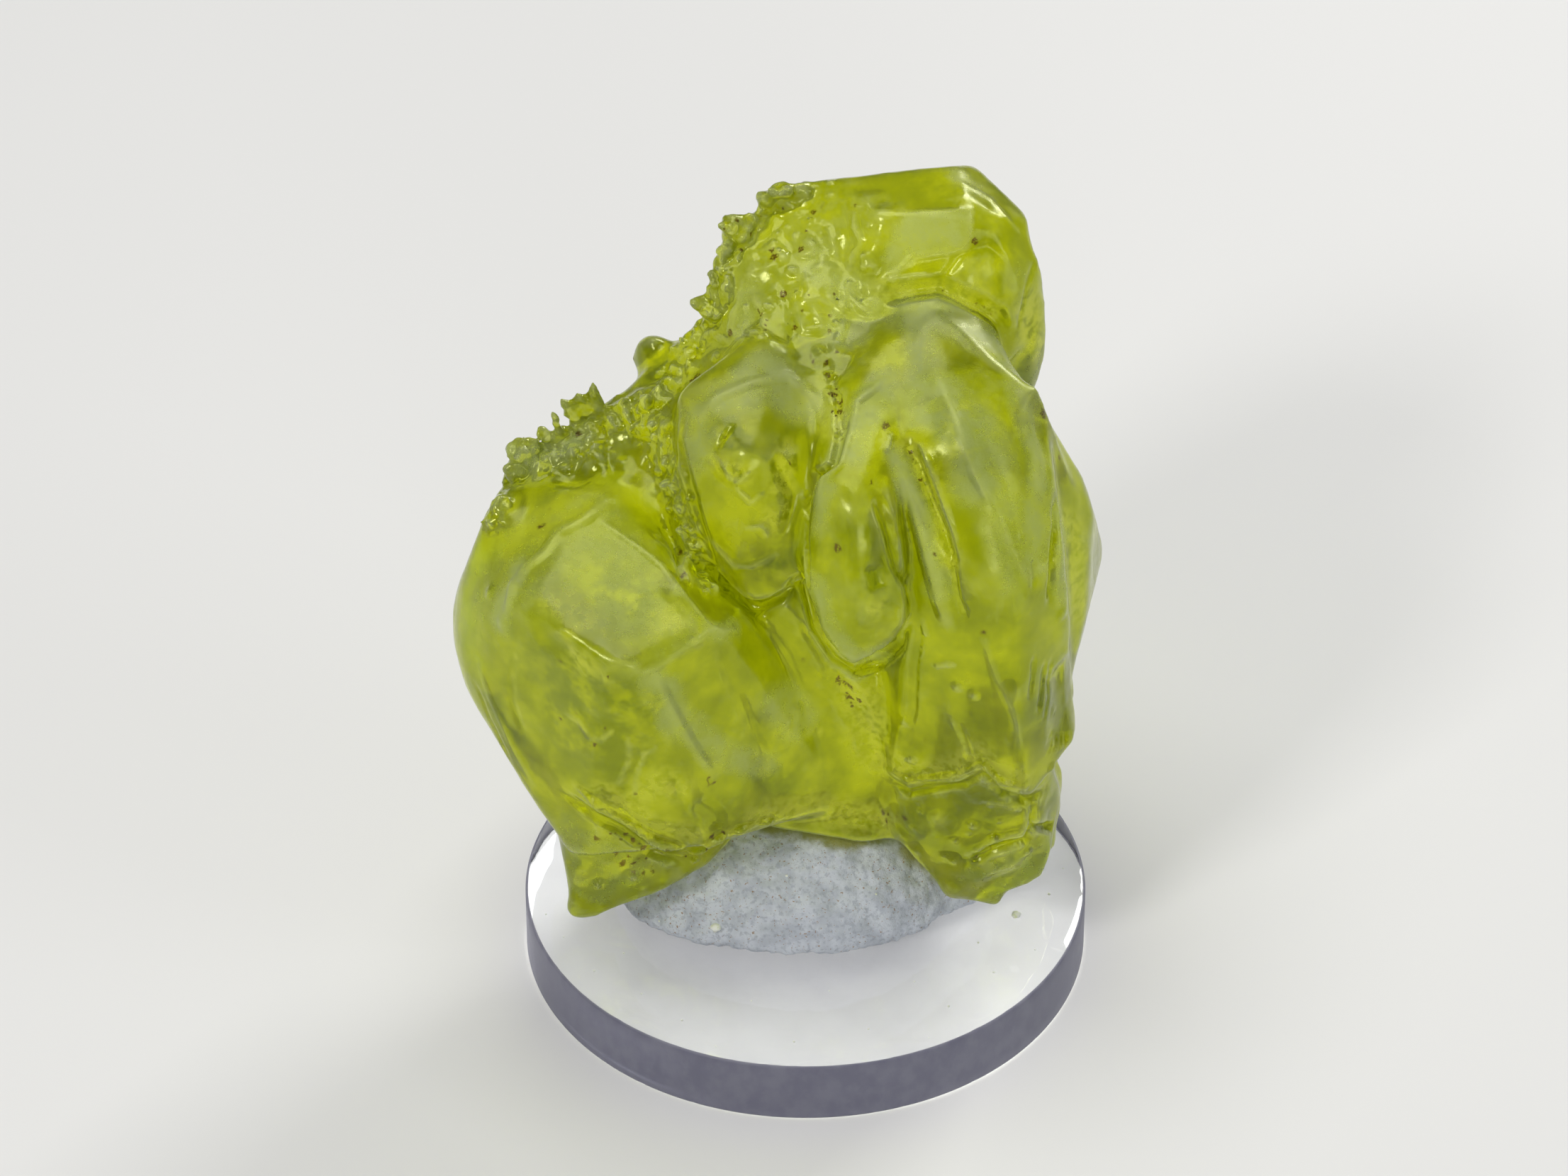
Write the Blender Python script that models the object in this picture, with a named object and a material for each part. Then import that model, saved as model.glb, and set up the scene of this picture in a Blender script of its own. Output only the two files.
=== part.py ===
"""Native sulfur crystal cluster, held by mounting putty on a clear round disc.

Frame: the origin is the centre of the disc's underside, +Z is up, +X is to the right and the show side
of the cluster looks towards -Y. Every size below is in millimetres until the meshes are finished.
"""

import math
import random

import bmesh
import bpy
from mathutils import Matrix, Vector
from mathutils.bvhtree import BVHTree

METRES_PER_MM = 0.001
SEAT_GAP = 0.3  # clearance between pieces that touch

DISC_DIAMETER = 25.4
DISC_THICKNESS = 3.0
DISC_EDGE_BEVEL = 0.2
DISC_SIDES = 80

PUTTY_CENTRE = (-0.45, 0.3)
PUTTY_WIDTH = 16.8
PUTTY_DEPTH = 10.4
PUTTY_DOME_HEIGHT = 6.0
PUTTY_LUMP = 0.035  # share of the radius by which the dome swells and sinks
PUTTY_WAVES = ((3, 0.6, 1.0), (5, 2.0, 0.7), (11, 0.0, 0.4))  # waves round the dome, phase, strength

BLOCK_HALF = 14.0  # half the side of the block that each crystal is cut from

# Each crystal is a block cut by flat faces. A face is (compass, tilt, distance): degrees round from the
# show side towards +X, degrees up from level, and millimetres from the crystal's centre.
CRYSTALS = {
    # The squat crystal at the left, with a broad frosted rhomb on top and a clear front below it.
    "left crystal": {
        "centre": (-9.0, -2.0, 17.0),
        "faces": [
            (5, 65, 7.9),
            (-75, 60, 7.9),
            (85, 55, 8.0),
            (-75, 35, 7.2),
            (-105, 20, 7.2),
            (-90, 5, 6.5),
            (30, 0, 6.9),
            (-35, -5, 4.8),
            (-55, 5, 5.7),
            (-85, -10, 6.1),
            (-5, -10, 5.8),
            (60, 15, 8.3),
            (110, 25, 6.8),
            (120, 40, 6.4),
            (170, 40, 6.6),
            (175, -10, 6.2),
            (-150, -15, 7.6),
            (-70, -25, 5.6),
            (20, -65, 8.2),
        ],
    },
    # The pointed foot below it, which comes down in front of the putty.
    "left foot": {
        "centre": (-8.0, -4.0, 8.0),
        "faces": [
            (0, 5, 1.4),
            (-50, 15, 2.4),
            (-120, 35, 2.9),
            (180, 40, 2.9),
            (140, 45, 3.8),
            (-85, -10, 2.8),
            (20, 0, 2.0),
            (165, -45, 3.5),
            (80, -40, 3.0),
            (80, -65, 1.8),
            (-10, -40, 3.0),
        ],
    },
    # The domed crystal in the middle, whose tip hangs over the deep groove.
    "middle crystal": {
        "centre": (-2.0, -1.0, 27.0),
        "faces": [
            (-20, 70, 4.1),
            (45, 60, 3.8),
            (-45, 25, 3.8),
            (40, 15, 3.3),
            (-30, 5, 3.5),
            (5, 5, 3.5),
            (100, 10, 3.2),
            (-90, -5, 3.5),
            (95, -20, 2.6),
            (-85, -20, 3.2),
            (-70, -40, 4.2),
            (60, -50, 4.7),
            (5, -60, 5.6),
            (180, 0, 5.0),
            (-135, 30, 4.6),
            (125, 35, 4.5),
        ],
    },
    # The slim finger that hangs down over the groove, right of the middle.
    "finger": {
        "centre": (2.0, -5.0, 26.0),
        "faces": [
            (-20, 65, 3.5),
            (30, 45, 3.1),
            (25, 20, 2.5),
            (-40, 15, 2.1),
            (-100, 5, 2.0),
            (90, 5, 2.1),
            (-30, 0, 2.5),
            (15, -10, 3.3),
            (-90, -20, 2.4),
            (75, -30, 3.7),
            (-75, -40, 3.6),
            (65, -50, 4.3),
            (0, -65, 5.4),
            (165, -25, 4.3),
            (150, 25, 5.2),
        ],
    },
    # The tall right-hand crystal grew as two blades, with a narrow groove down between them.
    "left blade": {
        "centre": (5.0, -2.0, 25.0),
        "faces": [
            (-10, 70, 5.9),
            (25, 60, 4.9),
            (-35, 30, 4.1),
            (75, 20, 2.0),
            (25, 15, 3.6),
            (-35, 5, 3.1),
            (95, 5, 1.6),
            (25, 0, 4.3),
            (-65, 0, 2.2),
            (-25, -5, 3.8),
            (-100, -5, 2.8),
            (-155, -20, 6.1),
            (-130, 20, 6.3),
            (10, -55, 11.8),
        ],
    },
    "main blade": {
        "centre": (8.0, -2.0, 24.0),
        "faces": [
            (0, 75, 7.8),
            (45, 70, 6.9),
            (-60, 55, 7.6),
            (65, 35, 4.7),
            (50, 25, 4.4),
            (-10, 25, 5.3),
            (110, 20, 4.2),
            (95, 5, 2.9),
            (45, 0, 4.3),
            (-60, 0, 3.9),
            (-15, -5, 5.0),
            (-90, -10, 3.0),
            (165, -15, 6.1),
            (145, 40, 8.0),
            (85, -50, 9.9),
            (-30, -50, 10.2),
        ],
    },
    # The thin blade behind them, which shows as a second outline at the right.
    "right blade": {
        "centre": (11.0, 0.0, 21.0),
        "faces": [
            (-35, 40, 5.4),
            (65, 25, 2.9),
            (115, 25, 2.9),
            (100, 15, 2.2),
            (80, 0, 1.6),
            (165, 5, 4.2),
            (45, 0, 2.3),
            (-80, 0, 1.3),
            (80, -10, 1.8),
            (165, -10, 4.2),
            (60, -35, 5.9),
            (80, -30, 5.2),
            (0, -80, 12.5),
        ],
    },
    # The blocky crystal that crowns the cluster.
    "crown": {
        "centre": (7.0, 7.0, 33.0),
        "faces": [
            (-50, 85, 3.3),
            (60, 60, 2.9),
            (95, 60, 2.7),
            (-170, 55, 3.6),
            (60, 30, 2.8),
            (125, 30, 2.8),
            (-5, 30, 3.4),
            (30, 30, 3.0),
            (100, 5, 2.7),
            (50, 0, 3.6),
            (10, -10, 4.0),
            (175, -15, 4.7),
            (-75, -20, 4.8),
            (65, -35, 4.6),
            (-30, -40, 4.1),
            (-15, -70, 5.9),
            (-50, 30, 5.1),
        ],
    },
    # Three crystals that carry the druse slope, from behind the left crystal up to the crown.
    "low slope": {
        "centre": (-9.0, 2.0, 23.0),
        "faces": [
            (-35, 60, 2.7),
            (0, 60, 3.3),
            (-85, 45, 3.6),
            (-140, 35, 3.4),
            (-110, 20, 4.1),
            (120, 20, 3.1),
            (-25, 20, 3.0),
            (90, 5, 3.6),
            (140, -15, 4.9),
            (75, -25, 4.6),
            (-170, -25, 5.4),
            (-35, -30, 2.5),
            (-65, -35, 3.5),
        ],
    },
    "middle slope": {
        "centre": (-5.0, 3.0, 27.0),
        "faces": [
            (-65, 55, 1.8),
            (-125, 35, 2.8),
            (35, 25, 3.8),
            (-65, 15, 2.1),
            (-65, 0, 2.7),
            (105, 0, 2.8),
            (85, -5, 2.6),
            (165, -30, 5.8),
            (-85, -30, 3.0),
            (110, 25, 3.6),
            (0, -45, 6.6),
        ],
    },
    "high slope": {
        "centre": (0.0, 7.0, 32.0),
        "faces": [
            (-10, 55, 2.5),
            (-45, 55, 2.3),
            (-170, 45, 3.4),
            (30, 45, 3.6),
            (-125, 40, 3.2),
            (-60, 30, 3.2),
            (-110, 10, 3.4),
            (90, 0, 3.6),
            (175, -15, 4.9),
            (-90, -15, 4.6),
            (-20, -40, 4.8),
            (60, -25, 4.3),
            (35, -50, 4.5),
            (-45, -30, 4.8),
        ],
    },
    # The body that they all grew from. Its underside arches over the putty.
    "core": {
        "centre": (0.0, 0.0, 15.0),
        "faces": [
            (-90, 40, 8.0),
            (-50, 40, 7.0),
            (100, 40, 9.4),
            (35, 25, 5.4),
            (70, 20, 5.3),
            (0, 0, 4.0),
            (-55, -5, 4.1),
            (85, -5, 6.8),
            (-85, -5, 4.9),
            (180, -5, 6.6),
            (-20, -60, 7.0),
            (20, -65, 7.8),
            (-30, -80, 8.7),
        ],
    },
    # The rough broken foot at the lower right.
    "right foot": {
        "centre": (8.0, -3.0, 9.0),
        "faces": [
            (-155, 60, 3.1),
            (-160, 50, 2.7),
            (40, 30, 4.2),
            (100, 15, 3.6),
            (60, 0, 2.8),
            (-95, -5, 4.0),
            (10, -5, 2.2),
            (-15, -5, 2.5),
            (30, -5, 2.4),
            (85, -10, 3.1),
            (-175, -20, 5.7),
            (-70, -35, 3.4),
            (55, -50, 3.0),
            (-55, -60, 3.4),
            (-160, -70, 4.6),
        ],
    },
    # The back of the cluster: three blunt crystals and the fractured root below them.
    "back left": {
        "centre": (-7.0, 5.0, 17.0),
        "faces": [
            (-75, 45, 6.4),
            (-90, 0, 5.6),
            (-130, 15, 5.0),
            (-150, 45, 6.2),
            (175, 10, 4.4),
            (150, 35, 5.4),
            (160, -30, 4.8),
            (-150, -35, 5.6),
            (-90, -40, 6.2),
            (90, 0, 5.0),
            (0, 20, 3.0),
            (0, -75, 9.0),
        ],
    },
    "back right": {
        "centre": (5.5, 6.5, 19.0),
        "faces": [
            (90, 20, 5.9),
            (85, -10, 5.6),
            (130, 15, 5.2),
            (125, 45, 7.2),
            (-175, 15, 4.6),
            (-160, 50, 7.4),
            (-125, 10, 5.6),
            (170, -30, 5.0),
            (115, -45, 7.6),
            (-110, -35, 7.0),
            (0, 0, 4.0),
            (0, -70, 9.0),
        ],
    },
    "root": {
        "centre": (1.0, 3.5, 11.0),
        "faces": [
            (90, 10, 7.4),
            (100, -30, 7.0),
            (-90, 5, 7.6),
            (-110, -35, 6.6),
            (170, 0, 5.2),
            (150, -40, 5.2),
            (-165, -45, 5.0),
            (-140, 5, 6.6),
            (180, 60, 6.4),
            (0, 70, 6.0),
            (0, -10, 5.0),
            (0, -80, 4.3),
        ],
    },
}

# The crystals that press into the putty.
SEATED_CRYSTALS = ("left crystal", "left foot", "core", "right foot", "back left", "back right", "root")

# Single lobes that stand out on the outline: base, compass, tilt, length, width.
OUTLINE_LOBES = [
    ((-12.4, 2.2, 25.6), -55, 45, 0.8, 1.5),
    ((-11.5, 2.5, 26.4), -60, 60, 0.5, 0.6),
    ((-10.9, 2.7, 26.9), -50, 70, 0.6, 0.6),
    ((-10.3, 3.0, 27.3), -60, 60, 0.9, 0.8),
    ((-9.8, 3.1, 27.6), -45, 70, 0.7, 0.8),
    ((-9.2, 3.2, 27.5), -20, 80, 1.4, 0.8),
    ((-8.6, 3.1, 27.0), -20, 70, 0.5, 0.6),
    ((-8.0, 3.0, 27.3), 10, 65, 1.2, 0.8),
    ((-7.0, 2.4, 28.0), 15, 60, 1.0, 0.8),
    ((-6.55, 5.9, 27.9), -20, 72, 1.5, 2.2),
    ((-5.7, 4.8, 29.1), -60, 50, 0.5, 0.6),
    ((-5.2, 4.9, 29.5), -70, 40, 0.5, 0.5),
    ((-4.5, 5.2, 31.2), -85, 30, 0.8, 1.0),
    ((-4.1, 5.5, 31.8), -80, 40, 0.5, 0.6),
    ((-3.8, 5.9, 32.3), -85, 20, 0.6, 0.6),
    ((-3.5, 6.4, 33.1), -85, 30, 0.6, 0.7),
    ((-3.1, 6.9, 34.1), -80, 60, 1.0, 1.5),
    ((-2.3, 7.2, 34.1), -30, 70, 0.9, 1.1),
    ((-1.7, 7.8, 34.9), -70, 55, 0.8, 0.8),
    ((-1.0, 8.0, 35.1), -20, 80, 0.8, 1.5),
    ((0.0, 8.1, 35.2), 0, 80, 0.6, 1.0),
]

# Patches of small rounded crystals fused to the surface. Each starts at a random place round the
# centre, held off along the aim, and moves in until it meets a crystal.
DRUSE_PATCHES = [
    {"centre": (-10.0, 1.6, 25.6), "reach": (3.3, 2.0, 0.6), "aim": (-30, 60), "count": 37, "size": (0.35, 0.75)},
    {"centre": (-6.8, 1.6, 27.0), "reach": (1.4, 2.4, 1.2), "aim": (-50, 45), "count": 30, "size": (0.35, 0.8)},
    {"centre": (-5.7, -1.5, 24.0), "reach": (0.7, 1.0, 1.8), "aim": (0, 20), "count": 9, "size": (0.3, 0.6)},
    {"centre": (-2.6, 5.4, 33.0), "reach": (1.8, 1.8, 1.6), "aim": (-35, 45), "count": 34, "size": (0.35, 0.8)},
    {"centre": (1.4, 5.4, 33.4), "reach": (1.8, 1.4, 1.8), "aim": (0, 50), "count": 10, "size": (0.4, 0.7)},
]

# Broken, knobbly ground: chips with random flat faces, larger and deeper set than the druse.
CHIP_PATCHES = [
    {"centre": (7.6, -4.6, 8.0), "reach": (3.0, 1.0, 2.6), "aim": (10, 0), "count": 15, "size": (0.9, 1.7)},
    {"centre": (11.0, 0.6, 9.6), "reach": (0.8, 2.0, 3.6), "aim": (80, 0), "count": 9, "size": (1.2, 2.2)},
    {"centre": (-7.8, -4.8, 8.0), "reach": (2.0, 0.8, 2.0), "aim": (0, 0), "count": 7, "size": (0.8, 1.4)},
    {"centre": (0.6, 4.4, 32.4), "reach": (2.4, 1.2, 2.4), "aim": (-10, 45), "count": 14, "size": (0.9, 1.7)},
    {"centre": (0.0, 9.0, 16.0), "reach": (8.0, 1.0, 7.0), "aim": (180, 0), "count": 14, "size": (1.8, 3.4)},
]

GROWTH_SEED = 11  # another whole number gives another druse of the same kind
HOLD_OFF = 8.0
WIDE_LOBE = 0.9  # lobes at least this wide are made from a finer ball
LOBE_THICKNESS = 0.8  # share of a lobe's width
ROOT_DEPTH = 0.7  # how far a lobe on the outline reaches into the crystal below it
LEAN = 0.35  # how far a small crystal leans off the surface's own direction
DRUSE_SPREAD = (0.9, 1.4)  # width of a small crystal, as a share of its length
DRUSE_WIDEST = 0.85
DRUSE_ROOT = 0.8  # share of the length that lies below the surface
CHIP_FACES = 9
CHIP_CUTS = (0.36, 0.5)  # distance of each face from the chip's centre, as a share of its size
CHIP_SINK = 0.28  # how deep a chip's centre lies, as a share of its size


def outward(compass, tilt):
    """Unit vector for a compass angle round from the show side and a tilt up from level."""
    round_angle = math.radians(compass)
    up_angle = math.radians(tilt)
    level = math.cos(up_angle)
    return Vector((math.sin(round_angle) * level, -math.cos(round_angle) * level, math.sin(up_angle)))


def cut_solid(centre, faces, half=BLOCK_HALF):
    """A block round the centre, cut by each (normal, distance) in turn."""
    centre = Vector(centre)
    solid = bmesh.new()
    bmesh.ops.create_cube(solid, size=2 * half, matrix=Matrix.Translation(centre))
    for normal, distance in faces:
        cut = bmesh.ops.bisect_plane(
            solid,
            geom=solid.verts[:] + solid.edges[:] + solid.faces[:],
            dist=1e-5,
            plane_co=centre + distance * normal,
            plane_no=normal,
            clear_outer=True,
        )
        rim = [item for item in cut["geom_cut"] if isinstance(item, bmesh.types.BMEdge)]
        if rim:
            bmesh.ops.contextual_create(solid, geom=rim)
    bmesh.ops.recalc_face_normals(solid, faces=solid.faces[:])
    return solid


def add_solid(target, solid):
    """Moves one finished solid into the target mesh, as an island of its own."""
    carrier = bpy.data.meshes.new("carrier")
    solid.to_mesh(carrier)
    solid.free()
    target.from_mesh(carrier)
    bpy.data.meshes.remove(carrier)


def add_crystal(target, name, grow=0.0):
    crystal = CRYSTALS[name]
    faces = [(outward(compass, tilt), distance + grow) for compass, tilt, distance in crystal["faces"]]
    add_solid(target, cut_solid(crystal["centre"], faces))


def add_lobe(target, base, direction, length, width, root):
    """A rounded crystal that stands out from its base by its length and reaches in by its root."""
    solid = bmesh.new()
    bmesh.ops.create_icosphere(solid, subdivisions=2 if width >= WIDE_LOBE else 1, radius=1.0)
    for vert in solid.verts:
        vert.co.x *= 0.5 * width
        vert.co.y *= 0.5 * LOBE_THICKNESS * width
        vert.co.z *= length if vert.co.z > 0 else root
    turn = direction.to_track_quat("Z", "Y").to_matrix().to_4x4()
    bmesh.ops.transform(solid, matrix=Matrix.Translation(base) @ turn, verts=solid.verts[:])
    add_solid(target, solid)


def add_chip(target, centre, size, chance):
    """A lump with random flat faces, about as wide as its size."""
    faces = []
    for _ in range(CHIP_FACES):
        normal = outward(chance.uniform(-180, 180), math.degrees(math.asin(chance.uniform(-1, 1))))
        faces.append((normal, chance.uniform(*CHIP_CUTS) * size))
    add_solid(target, cut_solid(centre, faces, half=0.5 * size))


def seeds_on_surface(surface, patch, chance):
    """Random places of a patch that meet the surface, each with the surface's own direction there."""
    aim = outward(*patch["aim"])
    found = []
    for _ in range(patch["count"]):
        offset = Vector([reach * chance.uniform(-1, 1) for reach in patch["reach"]])
        start = Vector(patch["centre"]) + offset + HOLD_OFF * aim
        place, normal, _, _ = surface.ray_cast(start, -aim, 2 * HOLD_OFF)
        if place:
            found.append((place, normal))
    return found


def add_druse(target, surface):
    chance = random.Random(GROWTH_SEED)
    for base, compass, tilt, length, width in OUTLINE_LOBES:
        gap = surface.find_nearest(base)[3]
        root = max(length, gap + ROOT_DEPTH)
        add_lobe(target, base, outward(compass, tilt), length, width, root)
    for patch in DRUSE_PATCHES:
        for place, normal in seeds_on_surface(surface, patch, chance):
            lean = Vector([chance.uniform(-LEAN, LEAN) for _ in range(3)])
            length = chance.uniform(*patch["size"])
            width = min(length * chance.uniform(*DRUSE_SPREAD), DRUSE_WIDEST)
            stance = (normal + lean).normalized()
            add_lobe(target, place, stance, length, width, DRUSE_ROOT * length)
    for patch in CHIP_PATCHES:
        for place, normal in seeds_on_surface(surface, patch, chance):
            size = chance.uniform(*patch["size"])
            add_chip(target, place - CHIP_SINK * size * normal, size, chance)


def principled(name, colour, roughness, metallic=0.0, transmission=0.0, ior=1.5):
    material = bpy.data.materials.new(name)
    material.use_nodes = True
    shader = material.node_tree.nodes["Principled BSDF"]
    shader.inputs["Base Color"].default_value = (*colour, 1.0)
    shader.inputs["Roughness"].default_value = roughness
    shader.inputs["Metallic"].default_value = metallic
    shader.inputs["Transmission Weight"].default_value = transmission
    shader.inputs["IOR"].default_value = ior
    material.diffuse_color = (*colour, 1.0)
    return material


def finish_object(name, solid, material=None):
    """Turns a mesh built in millimetres into an object in metres."""
    bmesh.ops.scale(solid, vec=(METRES_PER_MM,) * 3, verts=solid.verts[:])
    mesh = bpy.data.meshes.new(name)
    solid.to_mesh(mesh)
    solid.free()
    if material:
        mesh.materials.append(material)
    built = bpy.data.objects.new(name, mesh)
    bpy.context.collection.objects.link(built)
    return built


def hide_helper(helper):
    helper.hide_render = True
    helper.display_type = "WIRE"


def add_boolean(target, name, operation, helper):
    modifier = target.modifiers.new(name, "BOOLEAN")
    modifier.operation = operation
    modifier.solver = "EXACT"
    modifier.use_self = True
    modifier.object = helper


def outer_skin(built):
    """The object's evaluated mesh, less the tiny pockets that crystals enclose between them."""
    graph = bpy.context.evaluated_depsgraph_get()
    skin = bmesh.new()
    skin.from_object(built, graph)
    unseen = set(skin.verts)
    islands = []
    while unseen:
        edge_of_search = [unseen.pop()]
        island = []
        while edge_of_search:
            vert = edge_of_search.pop()
            island.append(vert)
            neighbours = {edge.other_vert(vert) for edge in vert.link_edges} & unseen
            unseen -= neighbours
            edge_of_search.extend(neighbours)
        islands.append(island)
    islands.sort(key=len)
    for island in islands[:-1]:
        bmesh.ops.delete(skin, geom=island, context="VERTS")
    return skin


def build_sulfur_cluster():
    """All crystals, lobes and chips in one mesh, joined into one solid."""
    islands = bmesh.new()
    for name in CRYSTALS:
        add_crystal(islands, name)
    surface = BVHTree.FromBMesh(islands)
    add_druse(islands, surface)
    sulfur = principled("sulfur", (0.46, 0.44, 0.03), 0.25, transmission=0.4, ior=2.0)
    cluster = finish_object("sulfur_cluster", islands, sulfur)
    heart = bmesh.new()
    add_crystal(heart, "core", grow=-1.0)
    joiner = finish_object("cluster_joiner", heart)
    add_boolean(cluster, "Join crystals", "UNION", joiner)
    skin = outer_skin(cluster)
    cluster.modifiers.clear()
    skin.to_mesh(cluster.data)
    skin.free()
    bpy.data.objects.remove(joiner)
    return cluster


def build_mineral_putty():
    """A lumpy dome on the disc, dented by the crystals that sit in it."""
    dome = bmesh.new()
    bmesh.ops.create_uvsphere(dome, u_segments=36, v_segments=16, radius=1.0)
    for vert in dome.verts:
        angle = math.atan2(vert.co.y, vert.co.x)
        swell = sum(strength * math.sin(waves * angle + phase) for waves, phase, strength in PUTTY_WAVES)
        vert.co.xy *= 1 + PUTTY_LUMP * swell * (1 - abs(vert.co.z))
        vert.co.x *= 0.5 * PUTTY_WIDTH
        vert.co.y *= 0.5 * PUTTY_DEPTH
        vert.co.z *= PUTTY_DOME_HEIGHT
        vert.co += Vector((*PUTTY_CENTRE, DISC_THICKNESS))
    floor_cut = bmesh.ops.bisect_plane(
        dome,
        geom=dome.verts[:] + dome.edges[:] + dome.faces[:],
        plane_co=(0.0, 0.0, DISC_THICKNESS + SEAT_GAP),
        plane_no=(0.0, 0.0, -1.0),
        clear_outer=True,
    )
    rim = [item for item in floor_cut["geom_cut"] if isinstance(item, bmesh.types.BMEdge)]
    bmesh.ops.contextual_create(dome, geom=rim)
    bmesh.ops.recalc_face_normals(dome, faces=dome.faces[:])
    putty = finish_object("mineral_putty", dome, principled("putty", (0.78, 0.78, 0.76), 0.85))
    dents = bmesh.new()
    for name in SEATED_CRYSTALS:
        add_crystal(dents, name, grow=SEAT_GAP)
    dent_cutter = finish_object("putty_dents", dents)
    hide_helper(dent_cutter)
    add_boolean(putty, "Press crystals in", "DIFFERENCE", dent_cutter)
    return putty


def build_acrylic_disc():
    disc = bmesh.new()
    bmesh.ops.create_cone(
        disc,
        cap_ends=True,
        segments=DISC_SIDES,
        radius1=0.5 * DISC_DIAMETER,
        radius2=0.5 * DISC_DIAMETER,
        depth=DISC_THICKNESS,
        matrix=Matrix.Translation((0.0, 0.0, 0.5 * DISC_THICKNESS)),
    )
    acrylic = principled("clear_acrylic", (0.9, 0.92, 0.96), 0.08, transmission=1.0, ior=1.49)
    built = finish_object("acrylic_disc", disc, acrylic)
    bevel = built.modifiers.new("Soften rims", "BEVEL")
    bevel.width = DISC_EDGE_BEVEL * METRES_PER_MM
    bevel.segments = 1
    bevel.limit_method = "ANGLE"
    bevel.angle_limit = math.radians(60)
    built.data.shade_smooth()
    built.data.set_sharp_from_angle(angle=math.radians(35))
    return built


def main():
    for leftover in list(bpy.data.objects):
        bpy.data.objects.remove(leftover)
    build_sulfur_cluster()
    build_mineral_putty()
    build_acrylic_disc()


main()
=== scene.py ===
# Native sulfur crystals held in white putty on a clear round disc.
# Meshes are shaped in millimetres and become metres when their object is made.
import math
import random
import time

import bmesh
import bpy
import numpy as np
from mathutils import Matrix, Vector
from mathutils.bvhtree import BVHTree


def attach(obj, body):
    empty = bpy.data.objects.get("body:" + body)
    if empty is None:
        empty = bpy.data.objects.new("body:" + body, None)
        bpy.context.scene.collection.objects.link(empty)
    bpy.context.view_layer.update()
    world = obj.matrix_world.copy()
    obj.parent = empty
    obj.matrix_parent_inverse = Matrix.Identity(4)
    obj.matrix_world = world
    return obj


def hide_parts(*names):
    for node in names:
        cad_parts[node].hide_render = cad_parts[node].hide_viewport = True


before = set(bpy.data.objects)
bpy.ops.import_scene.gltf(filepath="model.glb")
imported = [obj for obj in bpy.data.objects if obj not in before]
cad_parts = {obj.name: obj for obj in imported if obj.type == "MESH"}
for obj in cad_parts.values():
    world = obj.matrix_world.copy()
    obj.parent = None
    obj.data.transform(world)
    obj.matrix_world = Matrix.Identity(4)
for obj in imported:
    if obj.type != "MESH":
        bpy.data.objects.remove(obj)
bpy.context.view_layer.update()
mm = 0.001
started = time.time()


def report(stage):
    print(f"{time.time() - started:6.1f} s  {stage}")


# The camera. Its sight lines also place the features of the show side, by pixels of the frame.
view = {
    "place": (-0.97, -229.9, 196.2),
    "lookDown": 37.5,
    "lens": 151.8,
    "filmWidth": 36.0,
    "frameWidth": 2212,
    "frameHeight": 1659,
    "clip": (0.01, 20),  # in metres
    "pixelsPerMillimetre": 31.1,
}


def makeCamera():
    data = bpy.data.cameras.new("camera")
    data.sensor_width = view["filmWidth"]
    data.lens = view["lens"]
    data.clip_start, data.clip_end = view["clip"]
    camera = bpy.data.objects.new("camera", data)
    camera.location = [value * mm for value in view["place"]]
    camera.rotation_euler = (math.radians(90 - view["lookDown"]), 0, 0)
    bpy.context.scene.collection.objects.link(camera)
    bpy.context.scene.camera = camera
    report("camera")


focal = view["lens"] / view["filmWidth"] * view["frameWidth"]
lean = math.radians(view["lookDown"])
ahead = Vector((0, math.cos(lean), -math.sin(lean)))
above = Vector((0, math.sin(lean), math.cos(lean)))
eye = Vector(view["place"])


# The direction from the camera through one pixel of the frame.
def sightLine(across, down):
    sideways = (across - view["frameWidth"] / 2) / focal
    upward = (view["frameHeight"] / 2 - down) / focal
    return (ahead + sideways * Vector((1, 0, 0)) + upward * above).normalized()


# The pixel of the frame that each point falls on, and its distance ahead of the camera.
def onFrame(points):
    away = points - np.array(eye)
    depth = away @ np.array(ahead)
    across = view["frameWidth"] / 2 + focal * away[:, 0] / depth
    down = view["frameHeight"] / 2 - focal * (away @ np.array(above)) / depth
    return across, down, depth


# Points laid close together on the surface, along a path given in pixels of the frame.
def trailOn(surface, path, spacing=4):
    spots = []
    stops = path if len(path) > 1 else path * 2
    for (x0, y0), (x1, y1) in zip(stops, stops[1:]):
        steps = max(1, round(math.hypot(x1 - x0, y1 - y0) / spacing))
        for step in range(steps):
            share = step / steps
            spot = surface.ray_cast(eye, sightLine(x0 + share * (x1 - x0), y0 + share * (y1 - y0)))[0]
            if spot:
                spots.append(spot)
    return np.array(spots).reshape(-1, 3)


# Meshes as rows of numbers.
def rowsOf(mesh, what="co"):
    rows = np.empty(len(mesh.vertices) * 3, np.float32)
    mesh.vertices.foreach_get(what, rows)
    return rows.reshape(-1, 3).astype(float)


def edgesOf(mesh):
    pairs = np.empty(len(mesh.edges) * 2, np.int32)
    mesh.edges.foreach_get("vertices", pairs)
    return pairs.reshape(-1, 2)


def writePoints(mesh, points):
    mesh.vertices.foreach_set("co", points.astype(np.float32).ravel())
    mesh.update()


def writeShare(mesh, name, share):
    layer = mesh.attributes.new(name, "FLOAT", "POINT")
    layer.data.foreach_set("value", share.astype(np.float32))


def surfaceOf(mesh):
    faces = [tuple(face.vertices) for face in mesh.polygons]
    return BVHTree.FromPolygons([tuple(point) for point in rowsOf(mesh)], faces)


# A node's mesh, copied and in millimetres.
def nodeMesh(name):
    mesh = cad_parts[name].data.copy()
    mesh.transform(Matrix.Scale(1 / mm, 4))
    return mesh


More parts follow.
